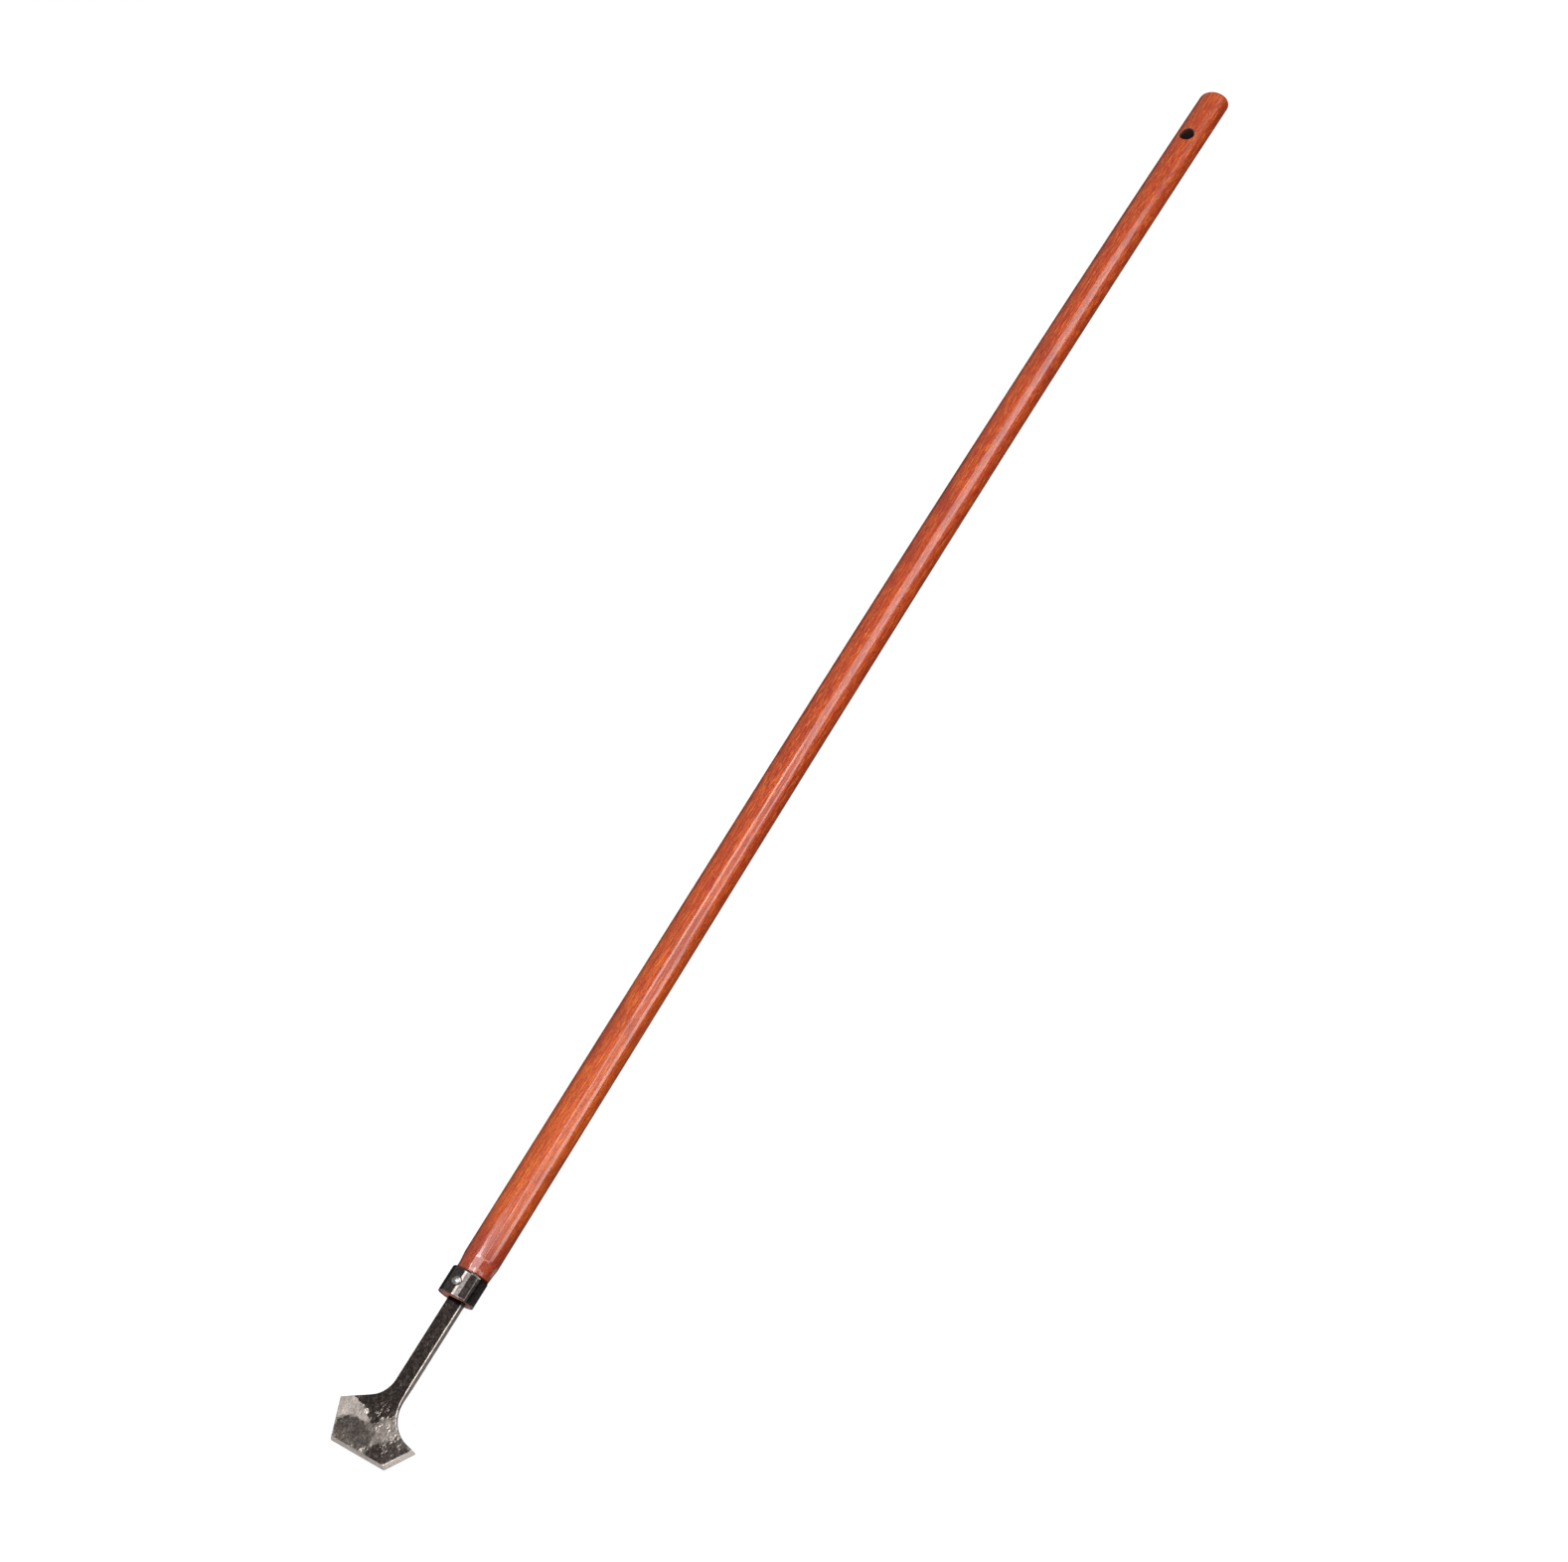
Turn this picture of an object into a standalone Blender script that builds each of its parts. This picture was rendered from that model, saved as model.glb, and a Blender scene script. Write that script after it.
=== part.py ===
"""Push hoe: a forged scraper blade on a flat shank, its tang set in a long wooden handle with a ferrule.

The tool lies flat with its cutting edge towards -X, its grip end towards +X and the blade's ground side up.
The origin is on the floor, under the middle of the tool's length and width. All sizes are in metres.
"""

import math

import bmesh
import bpy
from mathutils import Matrix, Vector

GAP = 0.0003  # clearance left between neighbouring solids

# The whole tool
TOOL_LENGTH = 1.4518
HEAD_REACH = 0.1375  # cutting edge to the ferrule's lower rim, where the handle begins

# Ferrule: a ring cut slightly out of square
FERRULE_RADIUS = 0.01545
FERRULE_WALL = 0.0017
FERRULE_LENGTH = 0.0225
FERRULE_Y = 0.0009
FERRULE_SKEW = 0.035  # the +Y side reaches this much further towards the blade, per metre of width
FERRULE_TOP_ROUND = 0.0012
FERRULE_RIM_ROUND = 0.0003
FERRULE_SIDES = 64

# Handle: turned, tapered towards the grip and slightly bowed
HANDLE_RECESS = 0.0005  # the end grain sits this far inside the ferrule
HANDLE_RADIUS = 0.0150
GRIP_RADIUS = 0.0136
NECK_RADIUS = 0.0141  # just above the ferrule
NECK_START = 0.0262
NECK_END = 0.0372
SPINE_START_Y = -0.0005
SPINE_END_Y = -0.0021
BOW = 0.0047
BOW_TOWARDS_GRIP = 0.9  # how much of the bow leans to the grip half
END_ROUND = 0.0045
END_SKEW = 0.20  # the grip end is sanded off square, its -Y side longest
END_SKEW_RUN = 0.030
END_OVERHANG = END_SKEW * (GRIP_RADIUS - END_ROUND)  # how far the longest side passes the middle
HANDLE_LENGTH = TOOL_LENGTH - HEAD_REACH - END_OVERHANG
HANDLE_SIDES = 48

# Hole to hang the tool by
HANG_HOLE_RADIUS = 0.0060
HANG_HOLE_FROM_END = 0.057
HANG_HOLE_TURN = math.radians(5.4)

# Forged head: blade, shank and tang in one piece
HEAD_Y = -0.0009
SHANK_WIDTH = 0.0140
SHANK_THICKNESS = 0.0058
BLADE_THICKNESS = 0.0028
BLADE_FLAT_LENGTH = 0.036  # full blade thickness up to here from the cutting edge
NECK_TOP = 0.066  # full shank thickness from here on
TANG_LENGTH = 0.078
TANG_TIP_WIDTH = 0.0080
TANG_TIP_THICKNESS = 0.0040
MORTISE_CLEARANCE = 0.0006

# Blade corners, as (distance above the cutting edge, distance to the right, corner radius)
CORNER_EDGE_LEFT = (0.0, -0.0284, 0.0010)
CORNER_EDGE_RIGHT = (0.0, 0.0236, 0.0012)
CORNER_WING_RIGHT = (0.0223, 0.0394, 0.0010)
CORNER_NECK_RIGHT = (0.0294, SHANK_WIDTH / 2, 0.0275)
CORNER_NECK_LEFT = (0.0509, -SHANK_WIDTH / 2, 0.0220)
CORNER_WING_LEFT = (0.0312, -0.0408, 0.0010)

# Ground bevels, as (width on the face, thickness left at the edge)
CUTTING_BEVEL = (0.0024, 0.0005)
SIDE_BEVEL = (0.0032, 0.0005)
BACK_BEVEL = (0.0011, 0.0018)

# Rivet through ferrule, handle and tang
RIVET_RADIUS = 0.00225
RIVET_HEAD_RADIUS = 0.0040
RIVET_HEAD_HEIGHT = 0.0021
RIVET_TAIL_RADIUS = 0.0036
RIVET_TAIL_HEIGHT = 0.0012
RIVET_RIM = 0.0004
RIVET_SIDES = 32

AXIS_HEIGHT = FERRULE_RADIUS + GAP + RIVET_TAIL_HEIGHT  # the rivet's tail rests on the floor
CUTTER_REACH = 0.030  # how far a long cutter runs past what it cuts
CUTTER_SIDES = 32
WEDGE_REACH = 0.006  # how far a bevel's cutter runs past the blade's edge and its corners
FINE_ARC = 0.005  # arcs under this radius need only a few points
BLADE_X = -TOOL_LENGTH / 2
HANDLE_X = BLADE_X + HEAD_REACH


def clear_scene():
    for obj in list(bpy.data.objects):
        bpy.data.objects.remove(obj, do_unlink=True)


def make_material(name, colour, roughness, metallic):
    material = bpy.data.materials.new(name)
    material.use_nodes = True
    shader = material.node_tree.nodes["Principled BSDF"]
    shader.inputs["Base Color"].default_value = (*colour, 1.0)
    shader.inputs["Roughness"].default_value = roughness
    shader.inputs["Metallic"].default_value = metallic
    return material


def make_object(name, bm, location, parent=None, material=None):
    """An object from a finished bmesh, its faces turned outwards and its round sides shaded smooth."""
    bmesh.ops.recalc_face_normals(bm, faces=bm.faces)
    mesh = bpy.data.meshes.new(name)
    bm.to_mesh(mesh)
    bm.free()
    mesh.shade_smooth()
    mesh.set_sharp_from_angle(angle=math.radians(32))
    if material:
        mesh.materials.append(material)
    obj = bpy.data.objects.new(name, mesh)
    obj.location = location
    obj.parent = parent
    bpy.context.scene.collection.objects.link(obj)
    return obj


def cut(target, cutter):
    """Takes the cutter's shape out of the target and hides the cutter."""
    cutter.hide_render = True
    cutter.display_type = "WIRE"
    modifier = target.modifiers.new("cut_" + cutter.name, "BOOLEAN")
    modifier.operation = "DIFFERENCE"
    modifier.solver = "EXACT"
    modifier.object = cutter


def smooth_step(value, start, end):
    """0 before start, 1 after end, and an even S between them."""
    t = min(max((value - start) / (end - start), 0.0), 1.0)
    return t * t * (3.0 - 2.0 * t)


def mix(a, b, share):
    return a + (b - a) * share


def add_ring(bm, x, y, radius, skew, sides):
    """A ring of vertices round the X direction. Skew leans it, the +Y side towards -X."""
    ring = []
    for k in range(sides):
        angle = 2.0 * math.pi * k / sides
        across = radius * math.cos(angle)
        ring.append(bm.verts.new((x - skew * across, y + across, radius * math.sin(angle))))
    return ring


def join_rings(bm, first, second):
    count = len(first)
    for k in range(count):
        after = (k + 1) % count
        bm.faces.new((first[k], first[after], second[after], second[k]))


def cylinder_cutter(name, radius, location, parent, turn=0.0):
    """A cylinder along Z, turned about X, long enough to go right through the handle."""
    bm = bmesh.new()
    length = 2.0 * CUTTER_REACH
    bmesh.ops.create_cone(
        bm, cap_ends=True, segments=CUTTER_SIDES, radius1=radius, radius2=radius, depth=length
    )
    cutter = make_object(name, bm, location, parent)
    cutter.rotation_euler = (turn, 0.0, 0.0)
    return cutter


# ---- handle ----


def spine_y(u):
    """Sideways place of the handle's middle line, u from the ferrule's rim."""
    q = u / HANDLE_LENGTH
    bow = 4.0 * BOW * q * (1.0 - q) * (1.0 + BOW_TOWARDS_GRIP * (q - 0.5))
    return mix(SPINE_START_Y, SPINE_END_Y, q) + bow


def shaft_radius(u):
    taper = mix(HANDLE_RADIUS, GRIP_RADIUS, (u - NECK_END) / (HANDLE_LENGTH - NECK_END))
    return mix(NECK_RADIUS, taper, smooth_step(u, NECK_START, NECK_END))


def shaft_skew(u):
    """Rings lean with the ferrule at one end and with the sanded grip end at the other."""
    at_ferrule = FERRULE_SKEW * (1.0 - smooth_step(u, FERRULE_LENGTH, NECK_END))
    at_grip = END_SKEW * smooth_step(u, HANDLE_LENGTH - END_SKEW_RUN, HANDLE_LENGTH)
    return at_ferrule + at_grip


def shaft_stations():
    """Where the rings of the visible shaft go: close together at both ends, well apart between."""
    neck_from = FERRULE_LENGTH + 2.0 * GAP
    end_from = HANDLE_LENGTH - END_SKEW_RUN
    neck = [mix(neck_from, NECK_END, k / 8) for k in range(8)]
    long_run = [mix(NECK_END, end_from, k / 30) for k in range(30)]
    end_run = [mix(end_from, HANDLE_LENGTH - END_ROUND, k / 6) for k in range(6)]
    return neck + long_run + end_run


def handle_rings():
    """Rings as (u, middle y, radius, skew), from the end grain in the ferrule to the rounded grip end."""
    seat = FERRULE_RADIUS - FERRULE_WALL - GAP
    rings = [
        (HANDLE_RECESS, FERRULE_Y, seat, FERRULE_SKEW),
        (FERRULE_LENGTH + GAP, FERRULE_Y, seat, FERRULE_SKEW),
    ]
    rings += [(u, spine_y(u), shaft_radius(u), shaft_skew(u)) for u in shaft_stations()]
    for k in range(6):
        angle = 0.5 * math.pi * k / 5
        u = HANDLE_LENGTH - END_ROUND + END_ROUND * math.sin(angle)
        radius = shaft_radius(u) - END_ROUND + END_ROUND * math.cos(angle)
        rings.append((u, spine_y(u), radius, shaft_skew(u)))
    return rings


def build_mortise_cutter(parent):
    """The pocket for the tang, a little larger than the tang all round."""
    bm = bmesh.new()
    ends = (
        (-CUTTER_REACH, SHANK_WIDTH, SHANK_THICKNESS),
        (0.0, SHANK_WIDTH, SHANK_THICKNESS),
        (TANG_LENGTH + MORTISE_CLEARANCE, TANG_TIP_WIDTH, TANG_TIP_THICKNESS),
    )
    loops = []
    for u, width, thickness in ends:
        y = width / 2 + MORTISE_CLEARANCE
        z = thickness / 2 + MORTISE_CLEARANCE
        corners = ((-y, -z), (y, -z), (y, z), (-y, z))
        loops.append([bm.verts.new((u, HEAD_Y + cy, cz)) for cy, cz in corners])
    join_rings(bm, loops[0], loops[1])
    join_rings(bm, loops[1], loops[2])
    bm.faces.new(loops[0])
    bm.faces.new(loops[2])
    return make_object("mortise_cutter", bm, (HANDLE_X, 0.0, AXIS_HEIGHT), parent)


def build_handle(parent):
    bm = bmesh.new()
    rings = [add_ring(bm, u, y, radius, skew, HANDLE_SIDES) for u, y, radius, skew in handle_rings()]
    for first, second in zip(rings, rings[1:]):
        join_rings(bm, first, second)
    bm.faces.new(rings[0])
    bm.faces.new(rings[-1])
    wood = make_material("stained_wood", (0.42, 0.075, 0.022), 0.38, 0.0)
    handle = make_object("handle", bm, (HANDLE_X, 0.0, AXIS_HEIGHT), parent, wood)

    hole_u = HANDLE_LENGTH - HANG_HOLE_FROM_END
    place = (HANDLE_X + hole_u, spine_y(hole_u), AXIS_HEIGHT)
    cut(handle, build_mortise_cutter(parent))
    cut(handle, cylinder_cutter("hang_hole_cutter", HANG_HOLE_RADIUS, place, parent, HANG_HOLE_TURN))
    cut(handle, rivet_hole_cutter("handle_rivet_hole_cutter", parent))
    return handle


# ---- ferrule ----


def ferrule_profile():
    """The wall's section as (u, radius) points: outside from rim to top, then back down the inside."""
    inner = FERRULE_RADIUS - FERRULE_WALL
    rim = [(0.0, FERRULE_RADIUS - FERRULE_RIM_ROUND), (FERRULE_RIM_ROUND, FERRULE_RADIUS)]
    round_u = FERRULE_LENGTH - FERRULE_TOP_ROUND
    round_radius = FERRULE_RADIUS - FERRULE_TOP_ROUND
    top = []
    for k in range(6):
        angle = 0.5 * math.pi * k / 5
        u = round_u + FERRULE_TOP_ROUND * math.sin(angle)
        top.append((u, round_radius + FERRULE_TOP_ROUND * math.cos(angle)))
    return rim + top + [(FERRULE_LENGTH, inner), (0.0, inner)]


def rivet_hole_cutter(name, parent):
    place = (HANDLE_X + FERRULE_LENGTH / 2, FERRULE_Y, AXIS_HEIGHT)
    return cylinder_cutter(name, RIVET_RADIUS + GAP, place, parent)


def build_ferrule(parent):
    bm = bmesh.new()
    rings = [add_ring(bm, u, 0.0, radius, FERRULE_SKEW, FERRULE_SIDES) for u, radius in ferrule_profile()]
    for first, second in zip(rings, rings[1:] + rings[:1]):
        join_rings(bm, first, second)
    steel = make_material("blackened_steel", (0.032, 0.027, 0.025), 0.32, 0.9)
    ferrule = make_object("ferrule", bm, (HANDLE_X, FERRULE_Y, AXIS_HEIGHT), parent, steel)
    cut(ferrule, rivet_hole_cutter("ferrule_rivet_hole_cutter", parent))
    return ferrule


# ---- forged head ----


def fillet(before, corner, after, radius):
    """Points of an arc that rounds a corner, from the side of the point before it to the other side."""
    corner = Vector(corner[:2])
    back = (Vector(before[:2]) - corner).normalized()
    on = (Vector(after[:2]) - corner).normalized()
    half = 0.5 * math.acos(back.dot(on))
    run = radius / math.tan(half)
    centre = corner + (back + on).normalized() * radius / math.sin(half)
    start = corner + back * run - centre
    end = corner + on * run - centre
    sweep = math.remainder(math.atan2(end.y, end.x) - math.atan2(start.y, start.x), 2.0 * math.pi)
    steps = round(abs(sweep) / math.radians(6)) if radius > FINE_ARC else 3
    return [tuple(centre + Matrix.Rotation(sweep * k / steps, 2) @ start) for k in range(steps + 1)]


def head_outline():
    """The head in plan as (x, right) points: round the blade, up one side of the shank and down the other."""
    tip_x = HEAD_REACH + TANG_LENGTH
    half_tip = TANG_TIP_WIDTH / 2
    half_shank = SHANK_WIDTH / 2
    corners = [
        CORNER_EDGE_LEFT,
        CORNER_EDGE_RIGHT,
        CORNER_WING_RIGHT,
        CORNER_NECK_RIGHT,
        (HEAD_REACH, half_shank, 0.0),
        (tip_x, half_tip, 0.0015),
        (tip_x, -half_tip, 0.0015),
        (HEAD_REACH, -half_shank, 0.0),
        CORNER_NECK_LEFT,
        CORNER_WING_LEFT,
    ]
    outline = []
    for k, corner in enumerate(corners):
        before, after = corners[k - 1], corners[(k + 1) % len(corners)]
        outline += fillet(before, corner, after, corner[2]) if corner[2] else [corner[:2]]
    return outline


def head_thickness(x):
    """Blade, then an even swelling into the shank, then the tang's taper."""
    forged = mix(BLADE_THICKNESS, SHANK_THICKNESS, smooth_step(x, BLADE_FLAT_LENGTH, NECK_TOP))
    tang_share = min(max((x - HEAD_REACH) / TANG_LENGTH, 0.0), 1.0)
    return mix(forged, TANG_TIP_THICKNESS, tang_share)


def bevel_cutter(name, start, end, bevel, parent):
    """A wedge over one edge of the blade, sloping from the upper face to the edge's thickness."""
    width, edge_thickness = bevel
    top = BLADE_THICKNESS / 2
    edge_z = edge_thickness - top
    slope = (top - edge_z) / width
    start, end = Vector(start[:2]), Vector(end[:2])
    along = (end - start).normalized() * WEDGE_REACH
    out = Vector((-along.y, along.x)).normalized()
    roof = top + WEDGE_REACH
    low = edge_z - slope * WEDGE_REACH
    section = ((WEDGE_REACH, low), (WEDGE_REACH, roof), ((edge_z - roof) / slope, roof))
    bm = bmesh.new()
    loops = []
    for base in (start - along, end + along):
        points = [(base + out * outwards, z) for outwards, z in section]
        loops.append([bm.verts.new((point.x, -point.y, z)) for point, z in points])
    join_rings(bm, loops[0], loops[1])
    bm.faces.new(loops[0])
    bm.faces.new(loops[1])
    return make_object(name, bm, (BLADE_X, HEAD_Y, AXIS_HEIGHT), parent)


def build_forged_head(parent):
    bm = bmesh.new()
    bm.faces.new([bm.verts.new((x, -right, 0.0)) for x, right in head_outline()])
    stations = [mix(BLADE_FLAT_LENGTH, NECK_TOP, k / 8) for k in range(9)] + [HEAD_REACH]
    for x in stations:
        geometry = bm.verts[:] + bm.edges[:] + bm.faces[:]
        bmesh.ops.bisect_plane(bm, geom=geometry, dist=1e-6, plane_co=(x, 0, 0), plane_no=(1, 0, 0))
    lower = bm.verts[:]
    raised = bmesh.ops.extrude_face_region(bm, geom=bm.faces[:])
    for vert in lower:
        vert.co.z = -head_thickness(vert.co.x) / 2
    for vert in raised["geom"]:
        if isinstance(vert, bmesh.types.BMVert):
            vert.co.z = head_thickness(vert.co.x) / 2
    iron = make_material("forged_steel", (0.10, 0.088, 0.082), 0.36, 0.9)
    head = make_object("forged_head", bm, (BLADE_X, HEAD_Y, AXIS_HEIGHT), parent, iron)

    ground_edges = (
        ("cutting_bevel_cutter", CORNER_EDGE_LEFT, CORNER_EDGE_RIGHT, CUTTING_BEVEL),
        ("side_bevel_cutter", CORNER_EDGE_RIGHT, CORNER_WING_RIGHT, SIDE_BEVEL),
        ("back_bevel_cutter", CORNER_WING_LEFT, CORNER_EDGE_LEFT, BACK_BEVEL),
    )
    for name, start, end, bevel in ground_edges:
        cut(head, bevel_cutter(name, start, end, bevel, parent))
    cut(head, rivet_hole_cutter("tang_rivet_hole_cutter", parent))
    return head


# ---- rivet ----


def dome(base_radius, height, steps):
    """A spherical cap as (radius, height above its base), from just off the crown to the base."""
    sphere = (base_radius**2 + height**2) / (2.0 * height)
    widest = math.asin(base_radius / sphere)
    angles = [widest * k / steps for k in range(1, steps + 1)]
    return [(sphere * math.sin(a), sphere * math.cos(a) - sphere + height) for a in angles]


def build_rivet(parent):
    """A turned profile whose head and tail are dressed down onto the round ferrule."""
    seat = FERRULE_RADIUS + GAP
    head = [(r, seat + z, 1.0) for r, z in dome(RIVET_HEAD_RADIUS, RIVET_HEAD_HEIGHT - RIVET_RIM, 6)]
    head = [(r, z + RIVET_RIM, side) for r, z, side in head] + [(RIVET_HEAD_RADIUS, seat, 1.0)]
    tail = [(r, -seat - z, -1.0) for r, z in dome(RIVET_TAIL_RADIUS, RIVET_TAIL_HEIGHT - RIVET_RIM, 5)]
    tail = [(r, z - RIVET_RIM, side) for r, z, side in tail] + [(RIVET_TAIL_RADIUS, -seat, -1.0)]
    stem = [(RIVET_RADIUS, seat, 1.0), (RIVET_RADIUS, -seat, -1.0)]
    bm = bmesh.new()
    rings = []
    for radius, height, side in head + stem + tail[::-1]:
        ring = []
        for k in range(RIVET_SIDES):
            angle = 2.0 * math.pi * k / RIVET_SIDES
            x, y = radius * math.cos(angle), radius * math.sin(angle)
            sag = FERRULE_RADIUS - math.sqrt(FERRULE_RADIUS**2 - y**2)
            drop = sag * radius / RIVET_HEAD_RADIUS
            ring.append(bm.verts.new((x, y, height - side * drop)))
        rings.append(ring)
    for first, second in zip(rings, rings[1:]):
        join_rings(bm, first, second)
    crowns = ((rings[0], seat + RIVET_HEAD_HEIGHT), (rings[-1], -seat - RIVET_TAIL_HEIGHT))
    for ring, height in crowns:
        crown = bm.verts.new((0.0, 0.0, height))
        for k in range(RIVET_SIDES):
            bm.faces.new((ring[k], ring[(k + 1) % RIVET_SIDES], crown))
    iron = make_material("rivet_steel", (0.24, 0.22, 0.21), 0.30, 0.95)
    place = (HANDLE_X + FERRULE_LENGTH / 2, FERRULE_Y, AXIS_HEIGHT)
    return make_object("ferrule_rivet", bm, place, parent, iron)


def main():
    clear_scene()
    tool = bpy.data.objects.new("push_hoe", None)
    bpy.context.scene.collection.objects.link(tool)
    build_handle(tool)
    build_ferrule(tool)
    build_forged_head(tool)
    build_rivet(tool)


main()
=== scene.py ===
"""Looks for the push hoe: a stained and varnished handle, a blackened ferrule with its rivet, and a forged,
partly ground head, lying on a white table under soft studio light.

Each CAD node is stood for by one finely meshed piece of the same size. Sizes are in metres. Along the tool,
u runs from the ferrule's lower rim towards the grip, and above runs from the cutting edge towards the handle.
In plan, a point is (above, right), with right counted from the tool's middle line towards -Y.
"""

import math

import bmesh
import bpy
import numpy as np
from mathutils import Matrix, Vector
from mathutils.geometry import delaunay_2d_cdt


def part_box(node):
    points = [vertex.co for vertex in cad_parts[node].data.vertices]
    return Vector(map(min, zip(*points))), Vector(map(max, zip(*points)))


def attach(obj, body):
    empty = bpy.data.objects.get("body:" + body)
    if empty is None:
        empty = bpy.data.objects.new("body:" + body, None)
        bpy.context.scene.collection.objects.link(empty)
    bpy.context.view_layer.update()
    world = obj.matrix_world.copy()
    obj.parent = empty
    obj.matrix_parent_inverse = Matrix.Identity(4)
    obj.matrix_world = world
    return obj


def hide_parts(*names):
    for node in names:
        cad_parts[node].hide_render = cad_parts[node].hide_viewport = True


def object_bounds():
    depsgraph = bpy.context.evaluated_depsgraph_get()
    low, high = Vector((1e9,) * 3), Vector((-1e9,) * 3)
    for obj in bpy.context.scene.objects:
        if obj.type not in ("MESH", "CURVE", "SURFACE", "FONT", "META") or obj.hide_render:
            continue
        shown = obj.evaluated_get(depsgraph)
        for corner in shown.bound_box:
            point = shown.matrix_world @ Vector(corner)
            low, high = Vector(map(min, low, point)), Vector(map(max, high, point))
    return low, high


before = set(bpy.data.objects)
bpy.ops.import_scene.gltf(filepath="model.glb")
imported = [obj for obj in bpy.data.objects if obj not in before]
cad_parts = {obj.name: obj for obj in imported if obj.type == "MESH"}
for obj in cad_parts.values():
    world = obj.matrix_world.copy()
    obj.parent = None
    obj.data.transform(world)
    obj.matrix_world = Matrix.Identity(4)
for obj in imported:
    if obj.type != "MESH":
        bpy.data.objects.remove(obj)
cad_low, cad_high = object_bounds()

MM = 0.001

# ---- the design's driving sizes ----

HEAD_REACH = 0.1375
TOOL_LENGTH = 1.4518

FERRULE_RADIUS = 0.01545
FERRULE_WALL = 0.0017
FERRULE_LENGTH = 0.0225
FERRULE_SKEW = 0.035
FERRULE_TOP_ROUND = 0.0012
FERRULE_RIM_ROUND = 0.0003

HANDLE_RADIUS = 0.0150
GRIP_RADIUS = 0.0136
NECK_RADIUS = 0.0141
NECK_START = 0.0262
NECK_END = 0.0372

# Small knife cuts at the ferrule, and the broadest one as (angle round the axis, depth, length)
KNIFE_CUTS = 17
WIDEST_FLAT = (math.radians(103.0), 0.00032, 0.022)

SEAT_RADIUS = FERRULE_RADIUS - FERRULE_WALL - 0.0003
SPINE_START_Y = -0.0005
SPINE_END_Y = -0.0021
BOW = 0.0047
BOW_TOWARDS_GRIP = 0.9
END_ROUND = 0.0045
END_SKEW = 0.20
END_SKEW_RUN = 0.030
HANDLE_LENGTH = TOOL_LENGTH - HEAD_REACH - END_SKEW * (GRIP_RADIUS - END_ROUND)
HANG_HOLE_RADIUS = 0.0060
HANG_HOLE_FROM_END = 0.057
HANG_HOLE_TURN = math.radians(5.4)
HANG_HOLE_MOUTH = 0.0009
HANG_HOLE_OVAL = (1.10, 0.90)
HANG_HOLE_LEAN = math.radians(-22.0)

SHANK_WIDTH = 0.0140
SHANK_THICKNESS = 0.0058
BLADE_THICKNESS = 0.0028
BLADE_FLAT_LENGTH = 0.036
NECK_TOP = 0.066
TANG_LENGTH = 0.078
TANG_TIP_WIDTH = 0.0080
TANG_TIP_THICKNESS = 0.0040
MORTISE_CLEARANCE = 0.0006

# The head's rounded edges, as (across the face, down the side). The shank's right edge is worn rounder
EDGE_ROUND = (0.00035, 0.00045)
WORN_EDGE_ROUND = (0.0012, 0.0007)
BACK_EDGE_ROUND = 0.00045
FACE_MARGIN = 0.00030

# Blade corners, as (distance above the cutting edge, distance to the right, corner radius)
EDGE_LEFT = (0.0, -0.0284, 0.0010)
EDGE_RIGHT = (0.0, 0.0236, 0.0012)
WING_RIGHT = (0.0223, 0.0394, 0.0010)
NECK_RIGHT = (0.0294, SHANK_WIDTH / 2, 0.0275)
NECK_LEFT = (0.0509, -SHANK_WIDTH / 2, 0.0220)
WING_LEFT = (0.0312, -0.0408, 0.0010)

# Ground bevels, as (from corner, to corner, width on the face, thickness left at the edge)
BEVELS = (
    (EDGE_LEFT, EDGE_RIGHT, 0.0024, 0.0005),
    (EDGE_RIGHT, WING_RIGHT, 0.0032, 0.0005),
    (WING_LEFT, EDGE_LEFT, 0.0011, 0.0018),
)

RIVET_RADIUS = 0.00225
RIVET_HEAD_RADIUS = 0.0040
RIVET_TAIL_RADIUS = 0.0036
RIVET_RIM = 0.0004
RIVET_SEAT_GAP = 0.00005
GAP = 0.0003

# ---- places, from the frame ----

ferrule_low, ferrule_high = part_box("ferrule")
head_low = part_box("forged_head")[0]
rivet_low, rivet_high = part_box("ferrule_rivet")
AXIS_HEIGHT = (ferrule_low.z + ferrule_high.z) / 2
FERRULE_Y = (ferrule_low.y + ferrule_high.y) / 2
BLADE_X = head_low.x
HANDLE_X = BLADE_X + HEAD_REACH
HEAD_Y = FERRULE_Y - 0.0018
RIVET_HEAD_HEIGHT = rivet_high.z - AXIS_HEIGHT - FERRULE_RADIUS - GAP
RIVET_TAIL_HEIGHT = AXIS_HEIGHT - FERRULE_RADIUS - GAP - rivet_low.z


# ---- small tools ----


def smooth(value, start, end):
    """0 before start, 1 after end, and an even S between them."""
    t = np.clip((value - start) / (end - start), 0.0, 1.0)
    return t * t * (3.0 - 2.0 * t)


def mix(a, b, share):
    return a + (b - a) * share


def uneven(points, seed, longest, shortest, count=24):
    """A smooth random field over the points, mostly between -1 and 1, made of plane waves."""
    rng = np.random.default_rng(seed)
    total = np.zeros(len(points))
    for _ in range(count):
        length = shortest * (longest / shortest) ** rng.uniform()
        direction = rng.normal(size=points.shape[1])
        direction *= 2.0 * math.pi / length / np.linalg.norm(direction)
        total += np.sin(points @ direction + rng.uniform(0.0, 2.0 * math.pi))
    return total / math.sqrt(2.0 * count)


def new_object(name, data):
    obj = bpy.data.objects.new(name, data)
    bpy.context.scene.collection.objects.link(obj)
    return obj


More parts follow.
